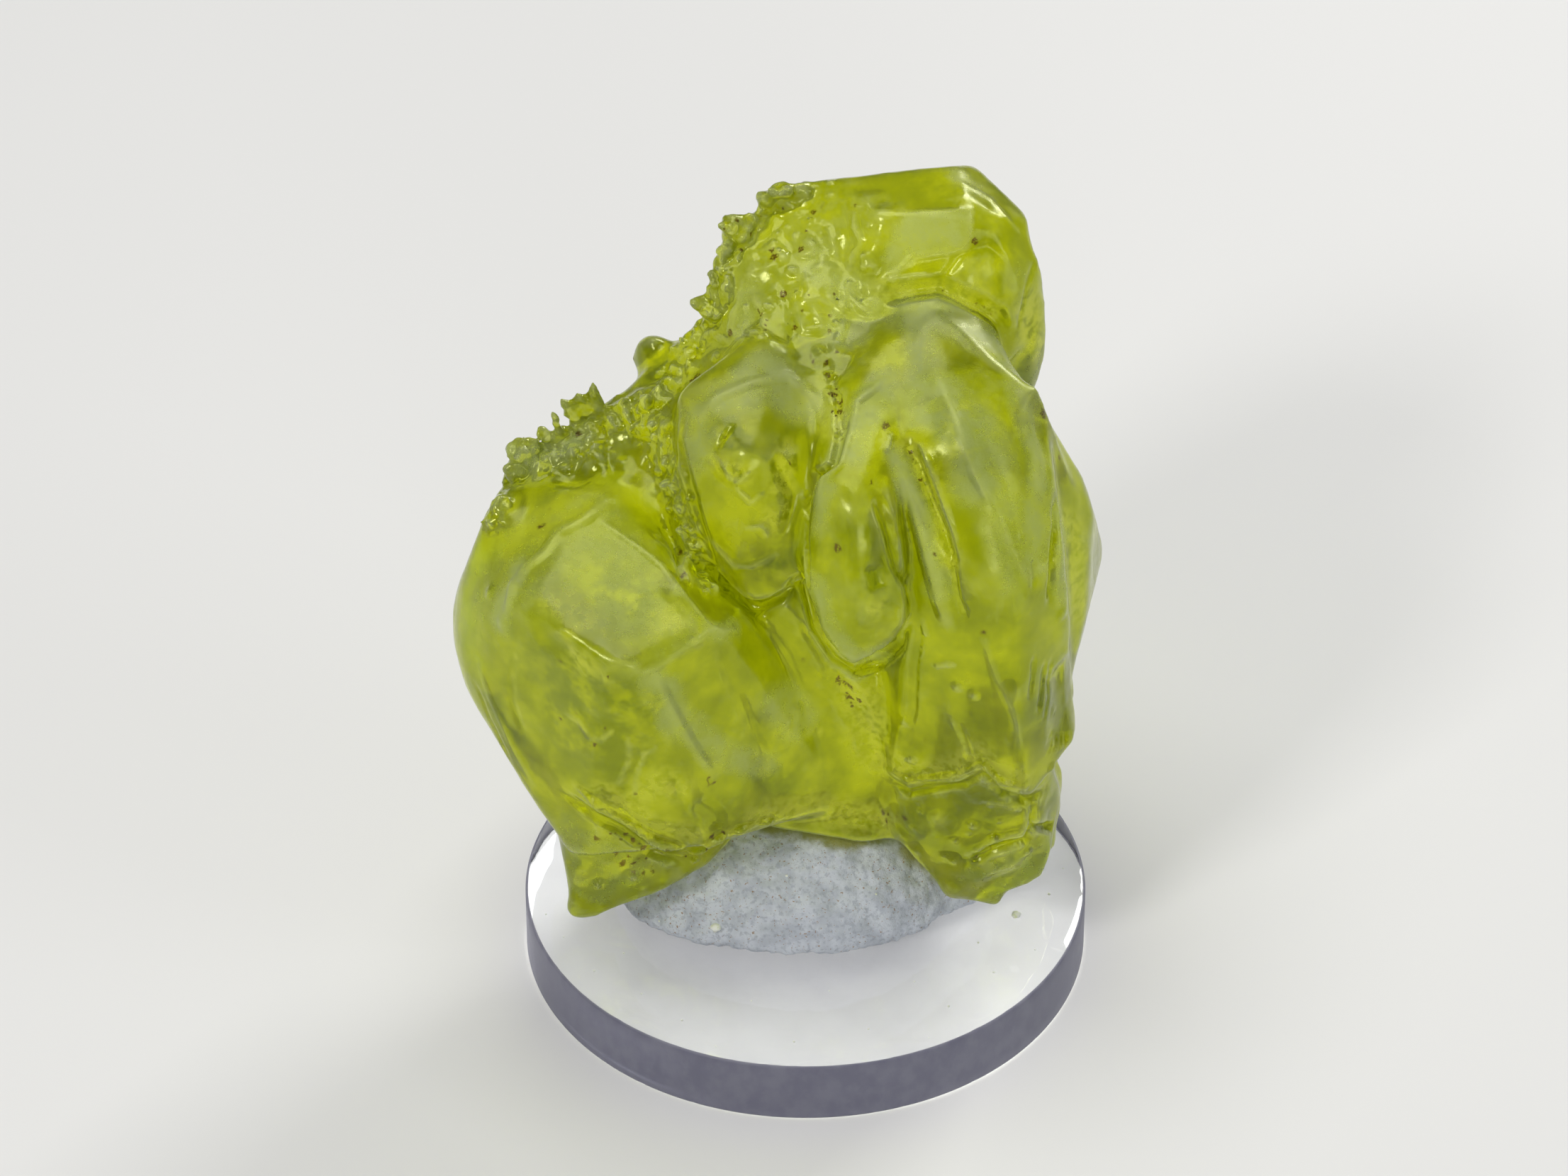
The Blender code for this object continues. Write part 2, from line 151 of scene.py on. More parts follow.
def meshOf(solid, name):
    mesh = bpy.data.meshes.new(name)
    solid.to_mesh(mesh)
    solid.free()
    return mesh


def joinSolid(target, solid):
    carrier = meshOf(solid, "carrier")
    target.from_mesh(carrier)
    bpy.data.meshes.remove(carrier)


# A mesh with one modifier applied.
def worked(mesh, kind, **settings):
    carrier = bpy.data.objects.new("carrier", mesh)
    bpy.context.scene.collection.objects.link(carrier)
    modifier = carrier.modifiers.new(kind, kind)
    for name, value in settings.items():
        setattr(modifier, name, value)
    graph = bpy.context.evaluated_depsgraph_get()
    result = bpy.data.meshes.new_from_object(carrier.evaluated_get(graph))
    bpy.data.objects.remove(carrier)
    return result


def thinned(mesh, triangles):
    count = sum(len(face.vertices) - 2 for face in mesh.polygons)
    return worked(mesh, "DECIMATE", ratio=min(1, triangles / count))


# Keeps the largest closed shell and deletes the tiny ones that a voxel remesh can leave inside.
def dropLooseShells(mesh):
    solid = bmesh.new()
    solid.from_mesh(mesh)
    shells, seen = [], set()
    for start in solid.verts:
        if start in seen:
            continue
        seen.add(start)
        shell = [start]
        for vert in shell:
            around = {edge.other_vert(vert) for edge in vert.link_edges} - seen
            seen |= around
            shell += sorted(around, key=lambda other: other.index)
        shells.append(shell)
    shells.sort(key=len)
    loose = [vert for shell in shells[:-1] for vert in shell]
    bmesh.ops.delete(solid, geom=loose, context="VERTS")
    solid.to_mesh(mesh)
    solid.free()
    report(f"{len(shells) - 1} loose shells dropped")


# The mean of each point's neighbours.
def neighbourMean(values, pairs):
    count = len(values)
    valence = np.bincount(pairs.ravel(), minlength=count).clip(1)
    columns = []
    for column in np.atleast_2d(values.T):
        total = np.bincount(pairs[:, 0], column[pairs[:, 1]], count)
        total += np.bincount(pairs[:, 1], column[pairs[:, 0]], count)
        columns.append(total / valence)
    return np.array(columns).T if values.ndim > 1 else columns[0]


# Each round moves every point part of the way to the mean of its neighbours.
def relax(points, pairs, strength, rounds):
    strength = np.broadcast_to(strength, len(points))[:, None]
    for _ in range(rounds):
        points = points + strength * (neighbourMean(points, pairs) - points)
    return points


# Large odd numbers that stir the cell of a grid into a random value.
cellKeys = (73856093, 19349663, 83492791)
seedKey = 2654435761
stirKeys = (2246822519, 3266489917)
fullWord = 0xFFFFFFFF


# A fixed random value from 0 to 1 for each cell of a grid.
def scatter(cell, seed):
    key = cell[:, 0] * cellKeys[0] ^ cell[:, 1] * cellKeys[1] ^ cell[:, 2] * cellKeys[2] ^ seed * seedKey
    key = key & fullWord
    key = (key ^ key >> 15) * stirKeys[0] & fullWord
    key = (key ^ key >> 13) * stirKeys[1] & fullWord
    return (key ^ key >> 16) / fullWord


# Smooth random values from -1 to 1 that change over a distance of one grain.
def grainNoise(points, grain, seed):
    spots = points / grain
    cell = np.floor(spots).astype(np.int64)
    part = spots - cell
    part = part * part * (3 - 2 * part)
    total = np.zeros(len(points))
    for number in range(8):
        step = np.array([number & 1, number >> 1 & 1, number >> 2])
        share = np.where(step, part, 1 - part).prod(axis=1)
        total += share * (2 * scatter(cell + step, seed) - 1)
    return total


# Several sizes of grain laid over one another.
def layeredNoise(points, grain, seed, layers=3):
    total = np.zeros(len(points))
    for layer in range(layers):
        total += grainNoise(points, grain / 2**layer, seed + layer) / 2**layer
    return total


# Rounded bumps packed side by side, from 0 in the creases to 1 on top, each about one size across.
def pebbles(points, size, seed, crease=0.7):
    spots = points / size
    cell = np.floor(spots).astype(np.int64)
    nearest = np.full(len(points), np.inf)
    for number in range(27):
        home = cell + np.array([number % 3 - 1, number // 3 % 3 - 1, number // 9 - 1])
        offset = np.stack([scatter(home, seed + axis) for axis in range(3)], axis=1)
        nearest = np.minimum(nearest, ((home + offset - spots) ** 2).sum(axis=1))
    return np.clip(1 - nearest / crease, 0, 1)


# The points within reach of a trail, with their distance from it and their share of its length.
def besideTrail(points, trail, reach):
    low = trail.min(axis=0) - reach
    high = trail.max(axis=0) + reach
    near = np.flatnonzero(((points > low) & (points < high)).all(axis=1))
    local = points[near]
    apart = np.full(len(near), np.inf)
    along = np.zeros(len(near))
    for index, spot in enumerate(trail):
        gap = ((local - spot) ** 2).sum(axis=1)
        closer = gap < apart
        apart[closer] = gap[closer]
        along[closer] = index / max(1, len(trail) - 1)
    inside = apart < reach**2
    return near[inside], np.sqrt(apart[inside]), along[inside]


# How strongly each point lies under a set of strokes, from 0 to 1: 0.5 for fall keeps the share high
# almost to the rim, 1 lets it fall off sooner.
def strokeShare(points, surface, strokes, fall=0.5):
    share = np.zeros(len(points))
    for reach, path in strokes:
        trail = trailOn(surface, path)
        if len(trail):
            near, apart, _ = besideTrail(points, trail, reach)
            share[near] = np.maximum(share[near], (1 - (apart / reach) ** 2) ** fall)
    return share


# How far each point lies inside an outlined patch of the surface that faces the viewer, from 0 to 1.
def patchShare(points, normals, surface, outline, soft, turnedAway=0.05, turnedTowards=0.2):
    share = np.zeros(len(points))
    held = np.array([spot for corner in outline for spot in trailOn(surface, [corner])])
    if len(held) < 3:
        print("  no surface under the patch at", outline[0])
        return share
    middle = held.mean(axis=0)
    reach = np.linalg.norm(held - middle, axis=1).max() + soft
    sight = np.array(eye) - points
    facing = (normals * sight).sum(axis=1) / np.linalg.norm(sight, axis=1)
    near = np.flatnonzero((np.linalg.norm(points - middle, axis=1) < reach) & (facing > turnedAway))
    across, down, depth = onFrame(points[near])
    inside = np.zeros(len(near), bool)
    apart = np.full(len(near), np.inf)
    for (startX, startY), (endX, endY) in zip(outline, outline[1:] + outline[:1]):
        runX, runY = endX - startX, endY - startY
        crossing = (startY > down) != (endY > down)
        inside ^= crossing & (across < runX * (down - startY) / (runY or 1) + startX)
        along = np.clip(((across - startX) * runX + (down - startY) * runY) / (runX**2 + runY**2), 0, 1)
        apart = np.minimum(apart, np.hypot(across - startX - along * runX, down - startY - along * runY))
    apart = apart * depth / focal * np.where(inside, 1, -1)
    share[near] = np.clip(0.5 + 0.5 * apart / soft, 0, 1) * np.clip(facing[near] / turnedTowards, 0, 1)
    return share


# Turns a mesh in millimetres into a piece of the model.
def finishPiece(name, mesh, materials, node=None):
    mesh.transform(Matrix.Scale(mm, 4))
    mesh.shade_smooth()
    if len(materials) == 1:
        mesh.materials.clear()
    for material in materials:
        mesh.materials.append(material)
    piece = bpy.data.objects.new(name, mesh)
    bpy.context.scene.collection.objects.link(piece)
    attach(piece, "root")
    if node:
        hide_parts(node)
    return piece


# Rows whose last entry is a path, written as the frame pixels across,down of each of its points.
def drawn(rows):
    return [(*row[:-1], [tuple(map(int, spot.split(","))) for spot in row[-1].split()]) for row in rows]


# The shape of the sulfur, in millimetres.
sulfurShape = {
    "coarseVoxel": 0.2,
    "fineVoxel": 0.115,
    "triangles": 196000,
    "softEdge": 10,  # rounds of smoothing everywhere but on druse and crisp crystals
    "softHold": 0.85,  # how much of that smoothing druse escapes
    "crispHold": 0.8,  # and crisp crystals, as a share of what druse escapes
    "roundForms": 90,  # more rounds on the rounded crystals
    "fineRounds": 3,
    "waveHeight": 0.045,
    "waveSize": 2.4,
    "rippleHeight": 0.012,
    "rippleSize": 0.55,
    "brokenHeight": 0.05,
    "brokenSize": 1.1,
    "pebbleHeight": 0.20,
    "pebbleSizes": (0.62, 0.3),
    "waxyHeight": 0.17,
    "waxySizes": (1.2, 0.9),
    "lumpHeight": 0.11,
    "lumpSizes": (1.5, 0.6),
    "druseLean": (-0.5, 0.1, 0.8),  # the way that the druse bumps are drawn out
    "druseLength": 0.6,  # bumps are drawn out to size over this
    "patchRim": 0.03,  # strokes fainter than this add no bumps
    "seed": 5,
}

# Ground that carries small crystals: reach in mm, then a path in frame pixels.
druseStrokes = drawn([
    (1.3, "700,670 745,635 800,605 850,600 900,590"),
    (0.9, "735,668 790,650 850,640"),
    (0.7, "716,672 704,700 690,738"),
    (1.2, "900,570 925,620 945,680"),
    (0.7, "945,680 965,730 985,790 1000,825"),
    (0.9, "925,560 955,520 985,470 1008,420 1022,350 1042,312"),
    (0.8, "1060,292 1095,272 1130,268"),
])
# Waxy, wrinkled ground.
waxyStrokes = drawn([
    (2.4, "1060,330 1110,380 1150,440"),
    (2.0, "1010,470 1060,440 1120,420"),
    (1.6, "1150,300 1200,320 1240,300"),
    (1.8, "1180,380 1220,420 1180,470 1160,510"),
    (1.0, "960,540 985,500"),
    (0.6, "1165,510 1178,560 1182,610"),
])
brokenStrokes = drawn([
    (1.4, "1270,1130 1330,1150 1400,1140 1470,1140"),
    (1.4, "1290,1190 1350,1220 1420,1210 1460,1180"),
    (1.2, "810,1210 830,1260 900,1240 980,1215"),
])
# Crystals with crisp edges.
crispStrokes = drawn([
    (3.0, "1250,320 1330,270 1420,320 1450,430 1460,500"),
    (2.0, "880,1000 920,1080 980,1150"),
])
# Crystals with broad rounded edges.
roundStrokes = drawn([
    (4.5, "700,800 680,870 690,950"),
    (2.5, "855,720 800,770 760,820"),
    (3.6, "1010,560 1075,500 1140,560"),
    (3.0, "1030,600 1080,620 1060,760"),
    (2.4, "1220,560 1190,680 1200,860"),
    (3.2, "1290,470 1330,560 1380,700 1400,900"),
    (2.5, "1250,450 1300,440 1400,480"),
    (2.2, "1165,470 1180,530 1180,600"),
    (2.4, "1220,490 1250,530"),
    (1.7, "1290,1145 1350,1165 1410,1150"),
])

# Crystal that fills the narrow gaps where three crystals meet: middle and radius in mm.
infill = [
    ((0.98, 1.25, 30.35), 1.45),
    ((1.04, 0.19, 29.90), 1.2),
    ((-10.2, -5.2, 5.9), 0.55),
]
# Crystal that fills out an edge, as the corners of a convex block.
infillBlocks = [
    # right side of the crown, down behind the tall crystal
    [
        (9.85, 6.2, 33.7), (10.14, 6.0, 33.2), (10.31, 5.8, 32.4), (10.45, 5.7, 31.3), (10.53, 5.6, 29.9),
        (10.53, 5.6, 28.8), (10.42, 5.6, 27.9), (10.15, 5.5, 26.6), (9.95, 4.9, 31.8), (9.9, 4.6, 29.5),
        (9.6, 4.4, 26.6), (8.2, 4.4, 31.0), (8.2, 4.0, 26.0), (9.0, 7.0, 33.0), (9.0, 7.2, 31.0),
        (8.4, 6.8, 26.0),
    ],
    # lower right corner of the right foot
    [
        (9.2, -4.9, 6.45), (9.9, -4.7, 6.5), (10.65, -4.3, 6.75), (11.03, -4.0, 8.2), (11.06, -3.9, 8.75),
        (10.6, -3.9, 9.4), (8.5, -4.6, 8.5), (9.5, -3.0, 8.5), (9.2, -3.2, 7.0), (10.4, -3.0, 7.2),
        (10.6, -3.0, 9.0),
    ],
    # right edge of the tall crystal
    [
        (9.9, -1.0, 31.6), (11.87, -1.0, 25.5), (9.0, -2.0, 31.0), (10.6, -2.2, 25.5),
        (9.0, 0.4, 31.0), (10.6, 0.6, 25.5), (11.6, -1.0, 23.5), (10.4, -2.0, 23.5), (10.4, 0.6, 23.5),
    ],
    # left edge of the left crystal
    [
        (-13.5, -0.5, 25.7), (-14.4, -0.7, 24.4), (-14.7, -0.8, 23.3), (-15.35, -1.0, 20.9),
        (-15.7, -1.0, 19.4), (-15.65, -1.0, 17.8), (-15.2, -1.0, 15.9), (-12.5, -1.8, 24.8),
        (-13.8, -2.6, 19.4), (-13.6, -2.6, 16.5), (-12.5, 1.2, 24.8), (-13.8, 1.2, 19.4),
        (-13.6, 1.2, 16.5),
    ],
]

# Relief on the show side: kind, reach in mm, rise in mm, path in frame pixels. A ridge or groove has a
# soft profile, a slit a sharp one.
relief = drawn([
    # left crystal, edges round the broad face
    ("ridge", 0.45, 0.13, "855,706 825,732 786,753 767,778 742,800 725,828 709,878"),
    ("ridge", 0.22, 0.10, "848,735 905,775 932,798 963,836 986,863 1005,884"),
    ("ridge", 0.22, 0.09, "1005,884 1022,890 1044,887"),
    ("ridge", 0.35, 0.06, "1005,886 982,903 925,944 905,950"),
    ("ridge", 0.30, 0.02, "901,948 867,925 840,900"),
    ("groove", 0.8, -0.10, "745,850 770,900 815,930"),
    ("bump", 0.55, 0.12, "725,826"),
    ("bump", 0.50, 0.10, "709,880"),
    ("bump", 0.60, 0.10, "982,905"),
    ("bump", 0.40, 0.10, "690,835"),
    # left crystal, front
    ("ridge", 0.40, 0.10, "925,951 944,994 967,1036 986,1067 1010,1100"),
    ("groove", 0.40, -0.08, "1008,905 1036,971 1063,1036 1086,1078"),
    ("ridge", 0.25, 0.05, "802,1009 817,1017 832,1040 848,1044 867,1028"),
    ("groove", 0.60, -0.05, "815,1000 845,1020 870,1012"),
    ("ridge", 0.22, 0.04, "886,1036 888,1071 871,1109"),
    ("ridge", 0.22, 0.04, "926,1054 909,1064 897,1098 894,1128"),
    ("groove", 0.50, -0.05, "905,1060 895,1090 880,1120"),
    ("groove", 0.30, -0.04, "728,925 723,960 722,990 740,1040"),
    ("ridge", 0.25, 0.05, "675,930 690,985 720,1050 755,1110"),
    ("groove", 0.18, -0.06, "668,960 690,1015 725,1080"),
    ("groove", 0.70, -0.05, "845,985 880,975 915,990"),
    ("bump", 0.60, 0.10, "1124,1004"),
    ("bump", 0.45, 0.08, "1112,1018"),
    ("bump", 0.45, 0.07, "1144,1030"),
    ("ragged", 0.22, 0.32, "812,1108 844,1136 884,1156 916,1180 980,1202 1020,1180 1060,1164 1110,1152"),
    ("groove", 0.6, -0.14, "985,1130 1010,1150 1010,1175"),
    ("groove", 0.45, -0.30, "800,1122 836,1152 876,1174 912,1198 975,1222"),
    # the deep crack beside the left crystal
    ("slit", 0.35, -0.45, "932,732 950,765 962,800 970,832"),
    ("bump", 0.5, 0.22, "992,812"),
    ("bump", 0.4, 0.18, "1008,832"),
    # middle crystal
    ("groove", 0.35, -0.14, "968,575 960,620 975,690 1000,770 1022,835 1060,862"),
    ("groove", 0.30, -0.16, "1060,862 1100,842 1136,805"),
    ("ridge", 0.40, 0.10, "986,590 1010,560 1060,540 1110,530 1150,560 1165,600"),
    ("groove", 0.45, -0.10, "1000,640 1020,668 1045,682"),
    ("ridge", 0.25, 0.10, "1017,651 1028,673 1042,680 1062,662"),
    ("ridge", 0.22, 0.08, "1040,690 1059,709 1080,692"),
    ("ridge", 0.22, 0.07, "1054,745 1075,742 1085,760"),
    ("groove", 0.50, -0.12, "1090,640 1120,700 1110,760"),
    ("groove", 0.80, -0.16, "1018,612 1030,620"),
    ("ridge", 0.25, 0.08, "1000,760 1035,800 1060,800 1100,780"),
    # finger
    ("groove", 0.38, -0.34, "1202,575 1188,612 1175,652 1150,672 1142,702 1137,765 1137,827 1152,888 "
     "1178,932 1208,948 1238,938 1271,912 1284,861"),
    ("ridge", 0.30, 0.12, "1245,537 1223,556 1208,568 1196,615 1184,654 1160,674 1152,702"),
    ("ridge", 0.25, 0.06, "1149,827 1164,885 1186,920 1208,930 1234,920 1262,900"),
    ("groove", 0.45, -0.24, "1235,700 1251,738 1266,796 1284,835 1290,869"),
    ("ridge", 0.22, 0.18, "1257,612 1250,642"),
    ("groove", 0.50, -0.12, "1232,800 1240,835"),
    ("bump", 0.35, 0.08, "1184,908"),
    ("ridge", 0.60, 0.30, "1264,650 1288,706 1306,765 1322,830 1338,885"),
    # tall crystal
    ("slit", 0.42, -0.46, "1284,629 1296,662 1312,706 1330,752 1346,804"),
    ("slit", 0.22, -0.16, "1346,804 1351,842 1366,877"),
    ("ridge", 0.28, 0.10, "1298,628 1313,665 1330,710 1350,765"),
    ("ridge", 0.55, 0.08, "1295,490 1307,459 1320,450 1351,465 1389,502 1432,534 1446,555 1452,615 "
     "1464,650 1467,709"),
    ("ridge", 0.32, 0.08, "1326,540 1351,593 1361,631 1376,671 1398,706 1425,770 1455,828"),
    ("groove", 0.55, -0.10, "1370,600 1392,660 1414,730 1440,800"),
    ("groove", 0.9, -0.10, "1305,560 1325,620"),
    ("slit", 0.35, -0.34, "1489,700 1491,740 1487,788 1484,827 1480,856"),
    ("slit", 0.22, -0.16, "1458,790 1462,815 1456,835"),
    ("bump", 0.40, 0.12, "1497,866"),
    ("bump", 0.40, 0.08, "1434,764"),
    ("groove", 0.22, -0.10, "1459,925 1456,960 1452,990"),
    ("groove", 0.22, -0.12, "1474,935 1470,975 1464,1010"),
    ("groove", 0.20, -0.10, "1484,930 1480,985 1472,1020"),
    ("ridge", 0.30, 0.08, "1389,904 1405,954 1428,1000 1440,1050"),
    ("groove", 0.30, -0.10, "1301,880 1290,940 1288,1000 1275,1050"),
    ("ridge", 0.25, 0.12, "1302,876 1308,900"),
    ("ridge", 0.22, 0.12, "1318,940 1336,936 1350,940"),
    ("bump", 0.40, 0.14, "1351,969"),
    ("bump", 0.35, 0.12, "1374,981"),
    ("bump", 0.40, 0.14, "1278,1020"),
    ("ridge", 0.22, 0.14, "1278,1072 1296,1072"),
    ("groove", 0.30, -0.12, "1350,1020 1362,1050 1372,1080"),
    ("ridge", 0.22, 0.10, "1340,1010 1356,1040 1366,1066"),
    ("groove", 1.6, -0.45, "1502,930 1508,965 1509,1000 1507,1030 1499,1060"),
    ("bump", 0.5, 0.16, "1494,1006"),
    ("bump", 0.4, 0.14, "1491,1046"),
    ("bump", 0.4, 0.12, "1484,1084"),
    ("groove", 0.32, -0.32, "1249,1096 1282,1120 1320,1112 1358,1108 1385,1094 1416,1120 1451,1130 "
     "1476,1112"),
    ("ragged", 0.20, 0.34, "1249,1084 1282,1102 1320,1096 1358,1090 1385,1076 1416,1102 1451,1112"),
    # crown
    ("ridge", 0.25, 0.06, "1264,302 1370,296 1367,337 1361,352 1289,363 1262,388 1246,402"),
    ("bump", 1.35, 0.22, "1384,386"),
    ("groove", 0.30, -0.08, "1330,418 1334,388 1355,360 1395,346 1424,372"),
    ("groove", 0.60, -0.62, "1238,414 1262,414 1290,408 1325,404 1356,418 1385,432 1408,448 1424,476"),
    ("ridge", 0.22, 0.12, "1245,394 1280,391 1322,388"),
    ("ridge", 0.20, 0.14, "1378,428 1388,436 1396,431 1405,440 1403,452"),
    ("groove", 0.20, -0.10, "1459,368 1450,400 1445,424 1434,468"),
    ("ridge", 0.20, 0.05, "1340,250 1398,281 1440,330"),
    # right foot: a block, a lobe below it, a smaller block on the right
    ("ridge", 0.30, 0.10, "1450,1134 1448,1160 1440,1174 1420,1180 1396,1189 1380,1200 1360,1208"),
    ("groove", 0.35, -0.26, "1456,1136 1454,1164 1446,1184 1420,1193 1396,1201 1376,1213 1345,1223"),
    ("groove", 0.30, -0.36, "1452,1166 1472,1167 1496,1165"),
    ("ridge", 0.22, 0.07, "1388,1132 1410,1135 1428,1139 1442,1145"),
    ("bump", 0.18, 0.08, "1380,1132"),
    ("bump", 0.18, 0.08, "1397,1134"),
    ("bump", 0.18, 0.08, "1424,1138"),
    ("bump", 0.22, 0.08, "1440,1192"),
    ("bump", 0.22, 0.08, "1366,1175"),
    ("bump", 0.20, 0.12, "1414,1245"),
    ("bump", 0.9, 0.14, "1330,1160"),
    ("groove", 0.5, -0.10, "1262,1130 1270,1160 1290,1190"),
    # wrinkled ground between crown and middle
    ("ridge", 0.24, 0.18, "1172,412 1177,427 1189,440 1191,422 1189,400"),
    ("ridge", 0.24, 0.18, "1195,398 1201,420 1212,434 1230,442"),
    ("ridge", 0.24, 0.16, "1192,448 1187,466 1180,486"),
    ("ridge", 0.28, 0.18, "1214,378 1228,372 1239,384"),
    ("ridge", 0.26, 0.12, "1168,318 1176,345 1182,366"),
    ("ridge", 0.26, 0.14, "1205,302 1208,322 1216,340 1204,358 1196,384"),
    ("ridge", 0.22, 0.10, "1134,376 1141,408 1134,424 1155,421 1174,430"),
    ("ridge", 0.22, 0.10, "1147,432 1161,463 1134,467 1124,446"),
    ("ridge", 0.22, 0.10, "1120,360 1162,354 1158,376 1138,386"),
    ("ridge", 0.22, 0.10, "1047,398 1036,440 1031,467 1078,476 1075,436 1058,408"),
    ("ridge", 0.18, 0.12, "1055,453 1052,464 1063,472 1077,470"),
    ("groove", 0.30, -0.14, "1046,412 1026,440 1005,468"),
    ("ridge", 0.26, 0.14, "988,478 1008,469 1034,486"),
    ("groove", 0.35, -0.20, "1182,412 1183,428"),
    ("groove", 0.35, -0.20, "1212,410 1220,428"),
    ("groove", 0.30, -0.14, "1165,505 1174,530 1182,566 1184,600 1180,640"),
    ("groove", 0.40, -0.12, "1150,330 1160,350 1155,366"),
    ("groove", 0.30, -0.12, "1100,400 1112,425 1120,460 1116,490"),
    ("bump", 0.26, 0.12, "1172,258"),
    ("bump", 0.26, 0.10, "1172,277"),
    ("bump", 0.24, 0.10, "1140,273"),
    ("bump", 0.24, 0.10, "1086,271"),
    ("bump", 0.22, 0.10, "1110,320"),
    ("ridge", 0.18, 0.10, "1121,328 1122,346"),
    ("bump", 0.35, 0.14, "1107,364"),
    ("bump", 0.30, 0.14, "1022,404"),
    ("bump", 0.26, 0.12, "993,460"),
    ("bump", 0.26, 0.12, "1085,432"),
    ("bump", 0.35, 0.14, "1010,504"),
    ("ridge", 0.20, 0.12, "972,495 969,515"),
    # valley between left crystal, middle crystal and tall crystal
    ("groove", 0.8, -0.25, "1165,935 1190,980 1225,1040 1240,1090"),
    ("slit", 0.25, -0.14, "1130,880 1165,940 1200,1000"),
])

def addLobe(target, place, direction, length, width, flat, taper):
    solid = bmesh.new()
    bmesh.ops.create_icosphere(solid, subdivisions=2, radius=1)
    for vert in solid.verts:
        narrowing = 1 - taper * max(0, vert.co.z)
        vert.co.x *= 0.5 * width * narrowing
        vert.co.y *= 0.5 * width * flat * narrowing
        vert.co.z *= length
    turn = direction.to_track_quat("Z", "Y").to_matrix().to_4x4()
    bmesh.ops.transform(solid, matrix=Matrix.Translation(place) @ turn, verts=solid.verts[:])
    joinSolid(target, solid)


# Single lobes that stand out on the outline: base in mm, compass and tilt in degrees, length, width.
outlineLobes = [
    ((-12.7, 1.7, 24.9), -70, 40, 0.6, 1.1),
    ((-12.4, 2.2, 25.6), -55, 45, 0.8, 1.5),
    ((-12.0, 2.3, 25.9), -70, 30, 0.5, 0.7),
    ((-11.5, 2.5, 26.4), -60, 60, 0.5, 0.6),
    ((-10.9, 2.7, 26.9), -50, 70, 0.6, 0.6),
    ((-10.3, 3.0, 27.3), -60, 60, 0.9, 0.8),
    ((-9.8, 3.1, 27.6), -45, 70, 0.7, 0.8),
    ((-9.2, 3.2, 27.5), -20, 80, 1.4, 0.8),
    ((-8.6, 3.1, 27.0), -20, 70, 0.5, 0.6),
    ((-8.0, 3.0, 27.3), 10, 65, 1.2, 0.8),
    ((-7.0, 2.4, 28.0), 15, 60, 1.0, 0.8),
    ((-6.55, 5.9, 27.9), -20, 72, 1.5, 2.2),
    ((-5.7, 4.8, 29.1), -60, 50, 0.5, 0.6),
    ((-5.2, 4.9, 29.5), -70, 40, 0.5, 0.5),
    ((-4.5, 5.2, 31.2), -85, 30, 0.8, 1.0),
    ((-4.1, 5.5, 31.8), -80, 40, 0.5, 0.6),
    ((-3.8, 5.9, 32.3), -85, 20, 0.6, 0.6),
    ((-3.5, 6.4, 33.1), -85, 30, 0.6, 0.7),
    ((-3.1, 6.9, 34.1), -80, 60, 1.0, 1.5),
    ((-2.3, 7.2, 34.1), -30, 70, 0.9, 1.1),
    ((-1.7, 7.8, 34.9), -70, 55, 0.8, 0.8),
    ((-1.0, 8.0, 35.1), -20, 80, 0.8, 1.5),
    ((0.0, 8.1, 35.2), 0, 80, 0.6, 1.0),
]

def outward(compass, tilt):
    around, rise = math.radians(compass), math.radians(tilt)
    level = math.cos(rise)
    return Vector((math.sin(around) * level, -math.cos(around) * level, math.sin(rise)))


# Small crystals on the druse, more of them near the middle line of each stroke, and a few on other ground.
druseGrowth = {
    "perMillimetre": 7,
    "crowds": ((druseStrokes, 1.0), (waxyStrokes, 0.12), (brokenStrokes, 0.15)),
    "length": (0.2, 0.5),
    "width": (0.55, 1.15),  # share of the length
    "flat": (0.5, 1.0),
    "taper": (0.2, 0.65),
    "lean": 0.45,
    "drift": (-0.45, -0.1, 0.35),  # most of them point up and to the left
    "outlineFlat": 0.75,
    "outlineTaper": 0.3,
}


def growDruse(target, surface):
    growth = druseGrowth
    chance = random.Random(sulfurShape["seed"])
    scale = view["pixelsPerMillimetre"]
    grown = 0
    for base, compass, tilt, length, width in outlineLobes:
        direction = outward(compass, tilt)
        addLobe(target, Vector(base), direction, length, width, growth["outlineFlat"], growth["outlineTaper"])
    for strokes, crowd in growth["crowds"]:
        for reach, path in strokes:
            for (x0, y0), (x1, y1) in zip(path, path[1:]):
                length = math.hypot(x1 - x0, y1 - y0) / scale
                for _ in range(round(crowd * growth["perMillimetre"] * length * reach)):
                    share = chance.random()
                    stray = chance.gauss(0, 0.5) * reach * scale
                    turn = chance.uniform(0, 2 * math.pi)
                    across = x0 + share * (x1 - x0) + stray * math.cos(turn)
                    down = y0 + share * (y1 - y0) + stray * math.sin(turn)
                    place, normal, _, _ = surface.ray_cast(eye, sightLine(across, down))
                    if not place:
                        continue
                    tip = Vector([chance.uniform(-1, 1) for _ in range(3)]) * growth["lean"]
                    direction = (normal + tip + Vector(growth["drift"])).normalized()
                    size = chance.uniform(*growth["length"])
                    width = size * chance.uniform(*growth["width"])
                    flat = chance.uniform(*growth["flat"])
                    addLobe(target, place, direction, size, width, flat, chance.uniform(*growth["taper"]))
                    grown += 1
    report(f"{grown} small crystals grown")


# A matrix that shortens distances along one direction, so that noise read through it is drawn out.
def leanAlong(direction, share):
    axis = np.array(direction) / np.linalg.norm(direction)
    return np.eye(3) - (1 - share) * np.outer(axis, axis)


